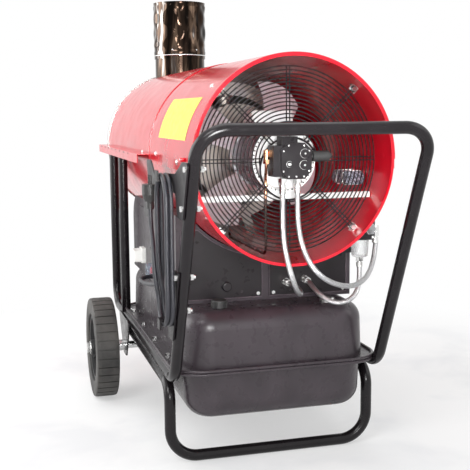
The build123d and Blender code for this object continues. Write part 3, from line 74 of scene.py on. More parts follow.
def make_camera():
    forward = Vector((
        sin(CAMERA_YAW) * cos(CAMERA_PITCH),
        cos(CAMERA_YAW) * cos(CAMERA_PITCH),
        -sin(CAMERA_PITCH),
    ))
    level = Vector((cos(CAMERA_YAW), -sin(CAMERA_YAW), 0))
    above = level.cross(forward)
    right = cos(CAMERA_ROLL) * level + sin(CAMERA_ROLL) * above
    up = cos(CAMERA_ROLL) * above - sin(CAMERA_ROLL) * level
    turn = Matrix((right, up, -forward)).transposed().to_4x4()
    camera = bpy.data.objects.new("camera", bpy.data.cameras.new("camera"))
    camera.matrix_world = Matrix.Translation(CAMERA_AT) @ turn
    camera.data.sensor_width = SENSOR_WIDTH
    camera.data.lens = FOCAL_LENGTH / PHOTO_WIDTH * SENSOR_WIDTH
    camera.data.clip_end = CAMERA_REACH
    bpy.context.collection.objects.link(camera)
    bpy.context.scene.camera = camera


# --- materials ----------------------------------------------------------------
NOISE_LOW, NOISE_HIGH = 0.3, 0.7    # most values of a noise texture lie between these
EVEN = (1, 1, 1)
BLACK_TINT = (1, 0.8, 0.94)
BRAID_STRANDS = 12                  # strands of each set round the hose
BRAID_PITCH = 0.0042                # metres from strand to strand along the hose
COPPER_DULL_Z = 0.585               # the copper line is dull up to here
COPPER_BRIGHT_Z = 0.605             # and bright from here up


def math_node(tree, operation, *values):
    """Output of a Math node that is fed with numbers or with other nodes' outputs."""
    made = tree.nodes.new("ShaderNodeMath")
    made.operation = operation
    for socket, value in zip(made.inputs, values):
        if isinstance(value, (int, float)):
            socket.default_value = value
        else:
            tree.links.new(value, socket)
    return made.outputs["Value"]


class Paint:
    """Builds one node material around a Principled shader."""

    def __init__(self, name, colour, roughness, metallic=0.0):
        self.material = bpy.data.materials.new(name)
        self.material.use_nodes = True
        self.tree = self.material.node_tree
        self.shader = self.tree.nodes["Principled BSDF"]
        self.colour = colour
        self.roughness = roughness
        self.set("Base Color", (*colour, 1))
        self.set("Roughness", roughness)
        self.set("Metallic", metallic)
        self.place = self.node("ShaderNodeTexCoord").outputs["Object"]

    def set(self, socket, value):
        self.shader.inputs[socket].default_value = value

    def node(self, kind, **inputs):
        made = self.tree.nodes.new(kind)
        for key, value in inputs.items():
            made.inputs[key].default_value = value
        return made

    def link(self, start, end):
        self.tree.links.new(start, end)

    def stretched(self, scale):
        """Object coordinates scaled along X, Y and Z."""
        mapping = self.node("ShaderNodeMapping", Scale=scale)
        self.link(self.place, mapping.inputs["Vector"])
        return mapping.outputs["Vector"]

    def noise(self, scale, detail=4.0, stretch=EVEN, distortion=0.0):
        made = self.node("ShaderNodeTexNoise", Scale=scale, Detail=detail, Distortion=distortion)
        self.link(self.stretched(stretch), made.inputs["Vector"])
        return made.outputs["Fac"]

    def ranged(self, factor, start, end, low=0.0, high=1.0):
        """A number that goes from low to high while the factor goes from start to end."""
        made = self.node("ShaderNodeMapRange")
        for socket, value in zip(("From Min", "From Max", "To Min", "To Max"), (start, end, low, high)):
            made.inputs[socket].default_value = value
        self.link(factor, made.inputs["Value"])
        return made.outputs["Result"]

    def tinted(self, factor, stops):
        """Base colour from a ramp over the factor, with (position, colour) stops."""
        made = self.node("ShaderNodeValToRGB")
        ramp = made.color_ramp
        for element, (position, colour) in zip(ramp.elements, (stops[0], stops[-1])):
            element.position = position
            element.color = (*colour, 1)
        for position, colour in stops[1:-1]:
            ramp.elements.new(position).color = (*colour, 1)
        self.link(factor, made.inputs["Fac"])
        self.link(made.outputs["Color"], self.shader.inputs["Base Color"])
        return self

    def mottled(self, amount, scale, stretch=EVEN):
        """Slight lighter and darker patches of the base colour."""
        dark = tuple(c * (1 - amount) for c in self.colour)
        light = tuple(min(1.0, c * (1 + amount)) for c in self.colour)
        return self.tinted(self.noise(scale, stretch=stretch), [(NOISE_LOW, dark), (NOISE_HIGH, light)])

    def uneven(self, amount, scale, stretch=EVEN):
        """Gloss that varies a little over the surface."""
        low, high = self.roughness - amount, self.roughness + amount
        varied = self.ranged(self.noise(scale, stretch=stretch), NOISE_LOW, NOISE_HIGH, low, high)
        self.link(varied, self.shader.inputs["Roughness"])
        return self

    def bump(self, height, strength, depth=0.0002):
        """Relief that follows a height, its depth in metres."""
        made = self.node("ShaderNodeBump", Distance=depth, Strength=strength)
        self.link(height, made.inputs["Height"])
        self.link(made.outputs["Normal"], self.shader.inputs["Normal"])
        return self


def casing_red():
    paint = Paint("casing_red", (0.56, 0.002, 0.014), 0.22).mottled(0.04, 6)
    paint.uneven(0.05, 25)
    paint.set("Specular IOR Level", 0.35)
    paint.set("Coat Weight", 0.35)
    paint.set("Coat Roughness", 0.06)
    paint.set("Coat IOR", 1.5)
    return paint.bump(paint.noise(300, 2), 0.03).material


def black_coat(name, shade, roughness, grain=900, gloss=0.3):
    """Stoved black paint with a faint orange-peel grain."""
    colour = tuple(shade * part for part in BLACK_TINT)
    paint = Paint(name, colour, roughness).mottled(0.2, 18)
    paint.set("Specular IOR Level", gloss)
    paint.uneven(0.07, 45)
    return paint.bump(paint.noise(grain, 2), 0.06, 0.0001).material


def bare_metal(name, colour, roughness, grain=60, relief=0.1, stretch=EVEN):
    paint = Paint(name, colour, roughness, 1.0).mottled(0.12, grain / 3, stretch)
    paint.uneven(0.1, grain, stretch)
    return paint.bump(paint.noise(grain * 6, 3, stretch), relief).material


def fan_silver():
    """Pale metallic paint, partly matte."""
    paint = Paint("fan_metal", (0.82, 0.82, 0.86), 0.34, 0.4).mottled(0.06, 30)
    return paint.uneven(0.08, 60).bump(paint.noise(700, 2), 0.1).material


def plastic(name, colour, roughness, grain=700):
    paint = Paint(name, colour, roughness).mottled(0.08, 40).uneven(0.05, 80)
    return paint.bump(paint.noise(grain, 2), 0.15).material


def flue_steel():
    """Dark polished steel with painted reflections: near-black, brown and pale streaks running up the pipe
    in its base colour.
    """
    paint = Paint("flue_steel", (0.3, 0.25, 0.2), 0.1, 1.0)
    # painted reflection: the streaked ramp stands for the surroundings mirrored in the pipe
    paint.tinted(paint.noise(34, 3, (1, 1, 0.12), 0.5), [
        (0.4, (0.008, 0.006, 0.005)),
        (0.5, (0.035, 0.022, 0.016)),
        (0.57, (0.15, 0.1, 0.07)),
        (0.62, (0.06, 0.045, 0.04)),
        (0.7, (0.8, 0.77, 0.72)),
    ])
    paint.uneven(0.05, 90, (1, 1, 0.1))
    return paint.bump(paint.noise(30, 2, (1, 1, 0.3)), 0.15, 0.002).material


def heated_steel():
    """Steel dulled and tinted by heat, seen between the fan's blades."""
    paint = Paint("heated_steel", (0.33, 0.31, 0.29), 0.42, 1.0)
    paint.tinted(paint.noise(7, 4, EVEN, 0.8), [
        (0.3, (0.2, 0.17, 0.15)),
        (0.55, (0.36, 0.33, 0.3)),
        (0.75, (0.3, 0.3, 0.36)),
    ])
    return paint.uneven(0.1, 30).bump(paint.noise(300, 3), 0.2).material


def braid(name, length):
    """Stainless braid: two sets of strands wound opposite ways, crossing over and under; its colour carries
    painted shade down between the strands and a painted highlight on their crowns.
    """
    paint = Paint(name, (0.62, 0.62, 0.63), 0.3, 1.0)
    tree = paint.tree
    split = paint.node("ShaderNodeSeparateXYZ")
    paint.link(paint.node("ShaderNodeTexCoord").outputs["UV"], split.inputs["Vector"])
    along = math_node(tree, "MULTIPLY", split.outputs["X"], length / BRAID_PITCH)
    around = math_node(tree, "MULTIPLY", split.outputs["Y"], BRAID_STRANDS)
    sets = []
    for lay in ("ADD", "SUBTRACT"):
        turns = math_node(tree, lay, along, around)
        sets.append(math_node(tree, "SINE", math_node(tree, "MULTIPLY", turns, 2 * pi)))
    height = math_node(tree, "MAXIMUM", *sets)
    # painted shade and highlight: near-black down between the strands, near-white on their crowns
    paint.tinted(height, [
        (0.05, (0.02, 0.02, 0.02)),
        (0.5, (0.5, 0.5, 0.51)),
        (0.9, (0.95, 0.95, 0.96)),
    ])
    return paint.bump(height, 0.6, 0.0006).material


def clear_plastic(name, colour):
    paint = Paint(name, colour, 0.08)
    paint.set("Transmission Weight", 0.85)
    paint.set("IOR", 1.45)
    paint.set("Alpha", 0.6)
    return paint.uneven(0.03, 60).bump(paint.noise(120, 2), 0.1).material


def tyre_rubber():
    """Solid black tyre under a thin, patchy film of dust."""
    paint = Paint("tyre_rubber", (0.03, 0.029, 0.028), 0.62)
    paint.tinted(paint.noise(14, 6), [(0.35, (0.022, 0.021, 0.02)), (0.75, (0.075, 0.07, 0.064))])
    return paint.uneven(0.1, 40).bump(paint.noise(500, 4), 0.35, 0.0004).material


def nozzle_copper():
    """Bright copper at the pump, dulled by dust and heat where the line runs under the fan."""
    paint = Paint("nozzle_copper", (0.75, 0.36, 0.2), 0.28, 1.0)
    split = paint.node("ShaderNodeSeparateXYZ")
    paint.link(paint.place, split.inputs["Vector"])
    rise = paint.ranged(split.outputs["Z"], COPPER_DULL_Z, COPPER_BRIGHT_Z)
    paint.tinted(rise, [
        (0.0, (0.05, 0.03, 0.025)),
        (0.6, (0.6, 0.3, 0.18)),
        (1.0, (0.8, 0.42, 0.24)),
    ])
    return paint.uneven(0.08, 120).bump(paint.noise(400, 3), 0.1).material


def speckled_case():
    """Dark blue-grey paint with a fine light speckle."""
    ground = (0.03, 0.035, 0.055)
    paint = Paint("capacitor_blue", ground, 0.45)
    paint.tinted(paint.noise(520, 2), [(0.5, ground), (0.62, (0.45, 0.47, 0.55))])
    return paint.uneven(0.08, 70).bump(paint.noise(520, 2), 0.3, 0.0003).material


RED = casing_red()
FRAME_BLACK = black_coat("frame_black", 0.009, 0.2)
TANK_BLACK = black_coat("tank_black", 0.041, 0.3, 1200, 0.4)
SHEET_BLACK = black_coat("sheet_black", 0.012, 0.32, 1000)
# paler black on the panels' folded edges: a painted highlight
PANEL_EDGE_HIGHLIGHT = black_coat("panel_edge", 0.12, 0.3)
SIDE_GREY = black_coat("side_grey", 0.045, 0.34, 1000)
GUARD_BLACK = black_coat("guard_black", 0.012, 0.28)
HOOK_BLACK = black_coat("hook_black", 0.01, 0.34, 900, 0.2)
PUMP_BLACK = black_coat("pump_black", 0.012, 0.34, 1500)
OUTLET_STEEL = bare_metal("outlet_steel", (0.5, 0.49, 0.47), 0.34, stretch=(0.3, 1, 0.3))
ZINC = bare_metal("zinc", (0.78, 0.78, 0.77), 0.26)
KNOB_STEEL = bare_metal("knob_steel", (0.42, 0.42, 0.43), 0.3)
GROUND_STEEL = bare_metal("ground_steel", (0.6, 0.6, 0.6), 0.25, 120, stretch=(1, 0.2, 1))
CAST_GREY = bare_metal("cast_grey", (0.5, 0.51, 0.54), 0.5, 200, 0.4)
FAN_METAL = fan_silver()
COPPER = nozzle_copper()
FLUE = flue_steel()
HEATED = heated_steel()
WHITE_PAINT = plastic("white_paint", (0.86, 0.86, 0.85), 0.35)
WHITE_PLASTIC = plastic("white_plastic", (0.85, 0.85, 0.82), 0.4)
BLACK_PLASTIC = plastic("black_plastic", (0.02, 0.02, 0.02), 0.45)
RIM_PLASTIC = plastic("rim_plastic", (0.035, 0.035, 0.036), 0.5)
RED_PLASTIC = plastic("red_plastic", (0.6, 0.02, 0.02), 0.25)
YELLOW = plastic("notice_yellow", (0.85, 0.74, 0.06), 0.35)
CABLE_RUBBER = plastic("cable_rubber", (0.02, 0.02, 0.026), 0.42, 1100)
TYRE = tyre_rubber()
CAPACITOR_BLUE = speckled_case()
CLEAR = clear_plastic("clear_bowl", (0.9, 0.92, 0.92))
CLEAR_BLUE = clear_plastic("clear_blue", (0.62, 0.74, 0.86))

LOOKS = {
    RED: ("rear_upper_shell", "rear_lower_shell", "front_upper_shell", "front_lower_shell"),
    OUTLET_STEEL: ("outlet_cone",),
    GUARD_BLACK: ("inlet_guard",),
    CAST_GREY: ("fan_motor", "pump_adapter"),
    WHITE_PAINT: ("motor_end_shield", "terminal_box", "motor_bar"),
    GROUND_STEEL: ("fan_shaft", "axle"),
    FAN_METAL: ("fan",),
    PUMP_BLACK: ("oil_pump", "filter_head", "filter_bracket"),
    BLACK_PLASTIC: ("pump_solenoid", "filler_cap", "main_switch", "power_plug"),
    ZINC: ("hose_fittings", "tank_fittings", "axle_nuts", "fasteners", "guard_clips"),
    KNOB_STEEL: ("filter_valve",),
    COPPER: ("nozzle_pipe",),
    CLEAR: ("filter_bowl",),
    HEATED: ("burner_tube", "combustion_chamber", "heat_exchanger"),
    FLUE: ("flue_collar",),
    TANK_BLACK: ("tank_upper", "tank_lower"),
    SHEET_BLACK: ("rear_panels",),
    SIDE_GREY: ("housing", "control_panel"),
    RED_PLASTIC: ("signal_lamp", "reset_button"),
    CLEAR_BLUE: ("reset_guard",),
    WHITE_PLASTIC: ("thermostat_socket",),
    FRAME_BLACK: ("handle_frame", "side_tubes", "middle_posts", "foot_frame", "axle_brackets"),
    HOOK_BLACK: ("cable_hooks",),
    TYRE: ("left_tyre", "right_tyre"),
    RIM_PLASTIC: ("left_rim", "right_rim"),
}


def dress_nodes():
    """Gives the carried-over CAD nodes their materials."""
    for material, names in LOOKS.items():
        for name in names:
            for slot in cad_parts[name].material_slots:
                slot.material = material


# --- making pieces ------------------------------------------------------------
SHARP_ANGLE = 35            # degrees: edges that turn more than this stay crisp
SLOT_DEPTH = 0.0005         # slots are thin black plates that stand just proud of a face; their black is painted shade for the dark inside the openings
SLOT_EDGE = 0.0001
SCREW_PROFILE = (           # shares of the head's radius
    (0, 0), (1.5, 0), (1.5, 0.18), (1, 0.2), (0.96, 0.5), (0.7, 0.78), (0.28, 0.9), (0.26, 0.5), (0, 0.48),
)


def piece(name, mesh, material, body="heater"):
    """A scene piece from a bmesh, with its material, riding on a body."""
    data = bpy.data.meshes.new(name)
    bmesh.ops.recalc_face_normals(mesh, faces=mesh.faces[:])
    mesh.to_mesh(data)
    mesh.free()
    made = bpy.data.objects.new(name, data)
    bpy.context.collection.objects.link(made)
    data.materials.append(material)
    data.shade_smooth()
    data.set_sharp_from_angle(angle=radians(SHARP_ANGLE))
    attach(made, body)
    return made


def frame_along(direction):
    """Rotation that turns +Z to a direction."""
    return Vector(direction).normalized().to_track_quat("Z", "Y").to_matrix().to_4x4()


def facing_rear(at):
    """A place whose X is +X, Y is up and Z looks out of the machine's rear."""
    turn = Matrix(((1, 0, 0), (0, 0, -1), (0, 1, 0))).to_4x4()
    return Matrix.Translation(at) @ turn


def polar(radius, turn, height=0.0):
    """Point at a radius from the Z axis, turned by an angle in radians."""
    return Vector((radius * cos(turn), radius * sin(turn), height))


def on_casing(y_mm, angle, lift=0.0):
    """Point on the casing, y in millimetres from the rim, angle in degrees from +X."""
    turned = radians(angle)
    reach = CASING_R + lift
    return Vector((reach * cos(turned), REAR_Y + y_mm / 1000, AXIS_Z + reach * sin(turned)))


def band(mesh, low, high):
    """Adds and returns the faces between two closed rings with the same number of points."""
    faces = []
    for step in range(len(low)):
        after = (step + 1) % len(low)
        faces.append(mesh.faces.new((low[step], low[after], high[after], high[step])))
    return faces


def lathe(mesh, profile, at, direction, steps=24):
    """Adds a turned shape: profile holds (radius, height) pairs, with radius 0 on the axis."""
    place = Matrix.Translation(at) @ frame_along(direction)
    rings = []
    for radius, height in profile:
        points = [polar(radius, 2 * pi * step / steps, height) for step in range(steps if radius else 1)]
        rings.append([mesh.verts.new(place @ point) for point in points])
    for low, high in zip(rings, rings[1:]):
        if len(low) == len(high):
            band(mesh, low, high)
            continue
        for step in range(steps):
            after = (step + 1) % steps
            if len(low) == 1:
                mesh.faces.new((low[0], high[step], high[after]))
            else:
                mesh.faces.new((low[step], low[after], high[0]))


def screw(mesh, at, direction, radius):
    """Pan-head screw on a washer."""
    lathe(mesh, [(radius * out, radius * up) for out, up in SCREW_PROFILE], at, direction, steps=18)


def rounded(width, height, radius, steps=5):
    """Outline of a rounded rectangle about the origin."""
    points = []
    for across, along, start in ((1, 1, 0), (-1, 1, 90), (-1, -1, 180), (1, -1, 270)):
        for step in range(steps + 1):
            turn = radians(start + 90 * step / steps)
            points.append((across * (width / 2 - radius) + radius * cos(turn),
                           along * (height / 2 - radius) + radius * sin(turn)))
    return points


def prism(mesh, outline, place, depth, edge):
    """Adds a plate: an outline thickened by depth along the place's Z, its rims rounded off."""
    low = [mesh.verts.new(place @ Vector((u, v, 0))) for u, v in outline]
    high = [mesh.verts.new(place @ Vector((u, v, depth))) for u, v in outline]
    caps = [mesh.faces.new(low[::-1]), mesh.faces.new(high)]
    band(mesh, low, high)
    rims = [e for cap in caps for e in cap.edges]
    bmesh.ops.bevel(mesh, geom=rims, offset=edge, segments=2, affect="EDGES", profile=0.5)


# --- cords --------------------------------------------------------------------
def route_curve(name, points, diameter=0.0):
    """Smooth curve that follows a route's points; with a diameter it is a capped tube."""
    data = bpy.data.curves.new(name, "CURVE")
    data.dimensions = "3D"
    data.resolution_u = 12
    spline = data.splines.new("NURBS")
    spline.points.add(len(points) - 1)
    for target, point in zip(spline.points, points):
        target.co = (*point, 1)
    spline.order_u = 3
    spline.use_endpoint_u = True
    if diameter:
        data.bevel_depth = diameter / 2
        data.bevel_resolution = 4
        data.use_fill_caps = True
    made = bpy.data.objects.new(name, data)
    bpy.context.collection.objects.link(made)
    return made


def centreline(points):
    """Points along a route's own NURBS spline."""
    curve = route_curve("route", points)
    mesh = bpy.data.meshes.new_from_object(curve)
    line = [v.co.copy() for v in mesh.vertices]
    bpy.data.objects.remove(curve)
    bpy.data.meshes.remove(mesh)
    return line


def run_length(line):
    return sum((b - a).length for a, b in zip(line, line[1:]))


def sweep(name, line, radius, material, sides=20):
    """Mesh tube along a line, with UVs that run along it and around it."""
    tangents = []
    for index in range(len(line)):
        before = line[max(0, index - 1)]
        after = line[min(len(line) - 1, index + 1)]
        tangents.append((after - before).normalized())
    reached = [0.0]
    for a, b in zip(line, line[1:]):
        reached.append(reached[-1] + (b - a).length)

    mesh = bmesh.new()
    uv = mesh.loops.layers.uv.new("length_and_turn")
    side = tangents[0].orthogonal().normalized()
    rings = []
    for index, (point, tangent) in enumerate(zip(line, tangents)):
        if index:
            side = tangents[index - 1].rotation_difference(tangent) @ side
        other = tangent.cross(side)
        ring = []
        for step in range(sides):
            turn = 2 * pi * step / sides
            ring.append(mesh.verts.new(point + radius * (cos(turn) * side + sin(turn) * other)))
        rings.append(ring)
    for row, (low, high) in enumerate(zip(rings, rings[1:])):
        for step, face in enumerate(band(mesh, low, high)):
            corners = ((row, step), (row, step + 1), (row + 1, step + 1), (row + 1, step))
            for loop, (index, turn) in zip(face.loops, corners):
                loop[uv].uv = (reached[index] / reached[-1], turn / sides)
    for ring in (rings[0], rings[-1]):
        mesh.faces.new(ring)
    return piece(name, mesh, material)


# the hoses' routes, in millimetres
RETURN_ROUTE = (
    (-22, 22, 603), (-22, 22, 572), (-24, 14, 534), (-26, 0, 498), (-22, -13, 464), (-12, -14, 430),
    (2, 2, 404), (20, 34, 390), (36, 72, 386), (44, 112, 386), (46, 150, 386), (46, 182, 386),
)
FEED_ROUTE = (
    (10, 22, 603), (10, 22, 572), (9, 14, 534), (12, 0, 498), (23, -13, 464), (45, -18, 436),
    (78, -11, 417), (116, 8, 406), (152, 36, 404), (182, 67, 410), (204, 92, 423), (219, 110, 442),
    (227, 120, 463), (229, 122, 478),
)
TANK_ROUTE = (
    (191, 122, 426), (191, 121, 402), (186, 116, 380), (175, 111, 363), (159, 108, 353), (141, 109, 349),
    (125, 114, 351), (111, 124, 358), (100, 139, 368), (93, 159, 381), (92, 182, 389),
)
HOSES = {
    "return": (RETURN_ROUTE, "return_hose"),
    "feed": (FEED_ROUTE, "feed_hose"),
    "tank": (TANK_ROUTE, "tank_hose"),
}


def make_hoses():
    """The three braided fuel hoses, each over its plain CAD rod."""
    for name, (route, node) in HOSES.items():
        line = centreline([mm(*point) for point in route])
        length = run_length(line)
        hose = sweep(f"{name}_braided_hose", line, HOSE_D / 2, braid(f"{name}_braid", length))
        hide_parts(node)


RELIEF_PROFILE = (          # the cable's strain relief, in metres
    (0, 0), (0.0082, 0), (0.0078, 0.004), (0.0068, 0.012), (0.0058, 0.02), (0.0052, 0.022), (0, 0.022),
)

# the cable and its hank on the two tongues, in millimetres
CABLE_EXIT = (-212, 372, 384)
HANK_Y = 64.0
HANK_TOP = 650.0
HANK_LOW = 335.0
HANK_HALF = 54.0            # from a bend's middle to the hank's end
HANK_R = 48.0               # bend of the cable's middle line round a tongue
LEG_REACH = 40.0            # of the rear leg's two points from its middle
LAYERS = (-253.2, -263.1)   # x of the first and the second turn
BEND_STEPS = 6


def hank_turn(layer):
    """One turn in its layer: over the upper tongue, down the rear leg and under the lower tongue."""
    upper = HANK_TOP - HANK_HALF
    lower = HANK_LOW + HANK_HALF
    middle = (upper + lower) / 2
    # an even ring of control points draws the spline in to this share of its radius
    ring = HANK_R / (0.75 + 0.25 * cos(pi / BEND_STEPS))

    def bend(centre, start):
        angles = [start + pi * step / BEND_STEPS for step in range(BEND_STEPS + 1)]
        return [(layer, HANK_Y + ring * cos(angle), centre + ring * sin(angle)) for angle in angles]

    leg = [(layer, HANK_Y - HANK_R, middle + reach) for reach in (LEG_REACH, -LEG_REACH)]
    return bend(upper, 0) + leg + bend(lower, pi)


def cable_route():
    """Lead to the hank, a turn, the crossing to the outer layer, a turn, and the tail to the plug."""
    lead = [
        CABLE_EXIT, (-222, 372, 384), (-238, 368.5, 384), (-251.5, 359, 384), (-260.5, 345, 384),
        (-264, 328, 384), (-263, 300, 384.5), (-260, 268, 387), (-256.5, 232, 392), (-253.8, 200, 398),
        (-253.2, 166, 404), (-253.2, 138, 412), (-253.2, 121, 430), (-253.2, 114, 462), (-253.2, 112, 520),
    ]
    crossing = [(-255, 112, 405), (-261.5, 112, 440), (-263.1, 112, 480), (-263.1, 112, 530)]
    tail = [
        (-267, 115, 412), (-269.5, 119, 440), (-268.5, 128, 470), (-267, 144, 496), (-266.1, 161, 517),
        (-266.1, 171, 540), (-266.1, 172, 566),
    ]
    points = lead + hank_turn(LAYERS[0]) + crossing + hank_turn(LAYERS[1]) + tail
    return [mm(*point) for point in points]


def make_cable():
    """The power cable, with the strain relief that it leaves the control panel through."""
    points = cable_route()
    line = centreline(points)
    cable = route_curve("power_cable", points, CABLE_D)
    cable.data.materials.append(CABLE_RUBBER)
    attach(cable, "heater")
    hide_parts("cable_lead", "cable_hank", "cable_tail")
    relief = bmesh.new()
    lathe(relief, RELIEF_PROFILE, mm(*CABLE_EXIT), (-1, 0, 0))
    piece("cable_strain_relief", relief, CABLE_RUBBER)


# --- casing trim --------------------------------------------------------------
NOTICE_ENDS = (72.0, 352.0)         # millimetres from the rim
NOTICE_ANGLES = (143.6, 168.8)      # degrees round the casing from +X
NOTICE_LIFT = 0.0004
NOTICE_STEPS = 16
CASING_SCREWS = (                   # millimetres from the rim, and degrees
    (72, 135.7), (134, 181), (368, 179), (544, 179.6), (72, 44), (134, -1), (368, 1),
)
CASING_SCREW_R = 0.0042
TAB_X = 0.2195
TAB_Y = REAR_Y + 0.059
TAB_Z = 0.6735
TAB_SIZE = (0.014, 0.008, 0.0015)   # width, height and corner
TAB_LENGTH = 0.004
TAB_EDGE = 0.0004
LEDGE_X = 0.2461
LEDGE_Z = 0.6655
LEDGE_SLOT = (0.016, 0.0034, 0.0014)
LEDGE_SLOTS = (589, 662, 736, 810, 883, 957, 1030, 1104)    # millimetres from the rim


def notice_plate():
    """Plain yellow plate wrapped on the rear casing's left shoulder."""
    mesh = bmesh.new()
    low, high = NOTICE_ANGLES
    rows = []
    for y in NOTICE_ENDS:
        angles = [low + (high - low) * step / NOTICE_STEPS for step in range(NOTICE_STEPS + 1)]
        rows.append([mesh.verts.new(on_casing(y, angle, NOTICE_LIFT)) for angle in angles])
    near, far = rows
    for step in range(NOTICE_STEPS):
        mesh.faces.new((near[step], near[step + 1], far[step + 1], far[step]))
    piece("notice_plate", mesh, YELLOW)


def casing_screws():
    mesh = bmesh.new()
    for y, angle in CASING_SCREWS:
        at = on_casing(y, angle)
        screw(mesh, at, at - Vector((0, at.y, AXIS_Z)), CASING_SCREW_R)
    piece("casing_screws", mesh, ZINC)


def seam_tabs():
    """Small red tabs that stand out of the casing's seam beside the intake."""
    mesh = bmesh.new()
    for side in (1, -1):
        at = Vector((side * TAB_X, TAB_Y, TAB_Z))
        prism(mesh, rounded(*TAB_SIZE), facing_rear(at), TAB_LENGTH, TAB_EDGE)
    piece("seam_tabs", mesh, RED)


def ledge_slots():
    """Slots along the left and right ledges of the front casing, drawn as black plates: painted shade for
    the dark inside them.
    """
    mesh = bmesh.new()
    outline = rounded(*LEDGE_SLOT)
    for side in (1, -1):
        turn = Matrix(((0, 0, side), (1, 0, 0), (0, 1, 0))).to_4x4()
        for y in LEDGE_SLOTS:
            place = Matrix.Translation((side * LEDGE_X, REAR_Y + y / 1000, LEDGE_Z)) @ turn
            prism(mesh, outline, place, SLOT_DEPTH, SLOT_EDGE)
    piece("ledge_slots", mesh, GUARD_BLACK)


# --- flue ---------------------------------------------------------------------
FLUE_FROM_RIM = 1.083
FLUE_AT = Vector((0, REAR_Y + FLUE_FROM_RIM, 0))
FLUE_LOW, FLUE_TOP = (corner.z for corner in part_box("flue_pipe"))
FLUE_OUT = 0.0785
FLUE_IN = 0.0765
FLUE_SIDES = 160
FLUE_ROWS = 44
DIAMONDS = 10               # pressed outwards in each row
DIAMOND_Z = FLUE_LOW + 0.036    # middle of the lowest row
DIAMOND_ROW = 0.042
DIAMOND_DEPTH = 0.0021
PRESSED_LOW = FLUE_LOW + 0.032  # the diamonds fade in from here
PRESSED_TOP = FLUE_TOP - 0.006  # and out up to here
LOW_FADE, TOP_FADE = 0.008, 0.006
BEADS = (                   # middle, half width, and how far out
    (FLUE_LOW + 0.018, 0.007, 0.0014), (FLUE_TOP, 0.004, 0.001),
)
RING_Z = FLUE_LOW + 0.0085
RIVET_Z = FLUE_LOW + 0.025
RIVET_ANGLES = (-62, -118, 62, 118)
RIVET_SINK = 0.0002
RIVET_PROFILE = ((0, 0), (0.003, 0), (0.0026, 0.0012), (0.0014, 0.0019), (0, 0.0021))
RING_SECTION = (            # out from the pipe, and up
    (-0.0006, 0), (0.0008, 0.0002), (0.0014, 0.001), (0.0014, 0.002), (0.0008, 0.0028), (-0.0006, 0.003),
)


def flue_dimple(turn, z):
    """How far the pressed diamonds push the sheet out, in metres."""
    fade = min(1.0, max(0.0, (z - PRESSED_LOW) / LOW_FADE), max(0.0, (PRESSED_TOP - z) / TOP_FADE))
    return DIAMOND_DEPTH * fade * cos(DIAMONDS * turn) * cos(pi * (z - DIAMOND_Z) / DIAMOND_ROW)


def flue_bead(z, middle, half, out):
    """How far a bead round the pipe pushes the sheet out, in metres."""
    return out * max(0.0, 1 - abs(z - middle) / half)


def flue_pressed():
    """Flue pipe: a bead above its joint, rows of tall diamonds and a turned top edge."""
    mesh = bmesh.new()
    outer, inner = [], []
    for row in range(FLUE_ROWS + 1):
        z = FLUE_LOW + (FLUE_TOP - FLUE_LOW) * row / FLUE_ROWS
        beads = sum(flue_bead(z, *bead) for bead in BEADS)
        for rings, radius in ((outer, FLUE_OUT), (inner, FLUE_IN)):
            ring = []
            for step in range(FLUE_SIDES):
                turn = 2 * pi * step / FLUE_SIDES
                reach = radius + flue_dimple(turn, z) + beads
                ring.append(mesh.verts.new(FLUE_AT + polar(reach, turn, z)))
            rings.append(ring)
    for rings in (outer, inner):
        for low, high in zip(rings, rings[1:]):
            band(mesh, low, high)
    for end in (0, -1):
        band(mesh, outer[end], inner[end])
    made = piece("flue_pressed", mesh, FLUE)
    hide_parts("flue_pipe")


def flue_rivets():
    mesh = bmesh.new()
    for angle in RIVET_ANGLES:
        out = polar(1, radians(angle))
        at = FLUE_AT + out * (FLUE_OUT - RIVET_SINK) + Vector((0, 0, RIVET_Z))
        lathe(mesh, RIVET_PROFILE, at, out, steps=14)
    piece("flue_rivets", mesh, GROUND_STEEL)


def flue_joint_ring():
    """Bright ring round the joint of the pipe and its collar."""
    mesh = bmesh.new()
    section = [(FLUE_OUT + out, up) for out, up in RING_SECTION]
    lathe(mesh, section, FLUE_AT + Vector((0, 0, RING_Z)), UPWARD, steps=96)
    piece("flue_joint_ring", mesh, ZINC)


# --- trim of the motor, pump and filter ---------------------------------------
CAPACITOR_X = 0.176
CAPACITOR_Z = 0.6225
CAPACITOR_SIZE = (0.044, 0.029, 0.006)      # width, height and corner
CAPACITOR_EDGE = 0.0022
STRAP_SIZE = (0.0464, 0.0314, 0.007)
STRAP_AT = (-0.020, -0.056)         # from the capacitor's front end
STRAP_WIDTH = 0.006
SHEET_EDGE = 0.0006                 # rounding of a thin plate's rims
FILTER_PLATE_AT = Vector((0.191, -0.4498, 0.5145))
FILTER_PLATE_SIZE = (0.050, 0.053, 0.006)
FILTER_PLATE_T = 0.0026
FILTER_SCREW_X = 0.020
FILTER_SCREW_Z = 0.021
FILTER_SCREW_R = 0.0022
PUMP_FACE = REAR_Y                  # the pump's face is level with the intake rim
PUMP_SCREW_R = 0.0013
PUMP_SCREWS = (                     # millimetres across and up from the casing's axis
    (-27, 20), (27, 20), (-27, -20), (27, -20), (-16, 31), (16, 31), (-16, -31), (16, -31), (0, -31),
)
HEX_PORTS = ((17, 15), (16, -8))
HEX_RING_R = 0.0096
ADJUSTER = (-15, -6)
ADJUSTER_RING_R = 0.0066
PORT_SECTION = (                    # out from the ring's radius, and out of the face
    (-0.0006, 0), (0, 0.0002), (0, 0.0009), (-0.0006, 0.0012), (-0.0012, 0.0009), (-0.0012, 0),
)
HEX_PROFILE = ((0, 0.004), (0.0026, 0.004), (0.0022, 0.0052), (0, 0.0054))
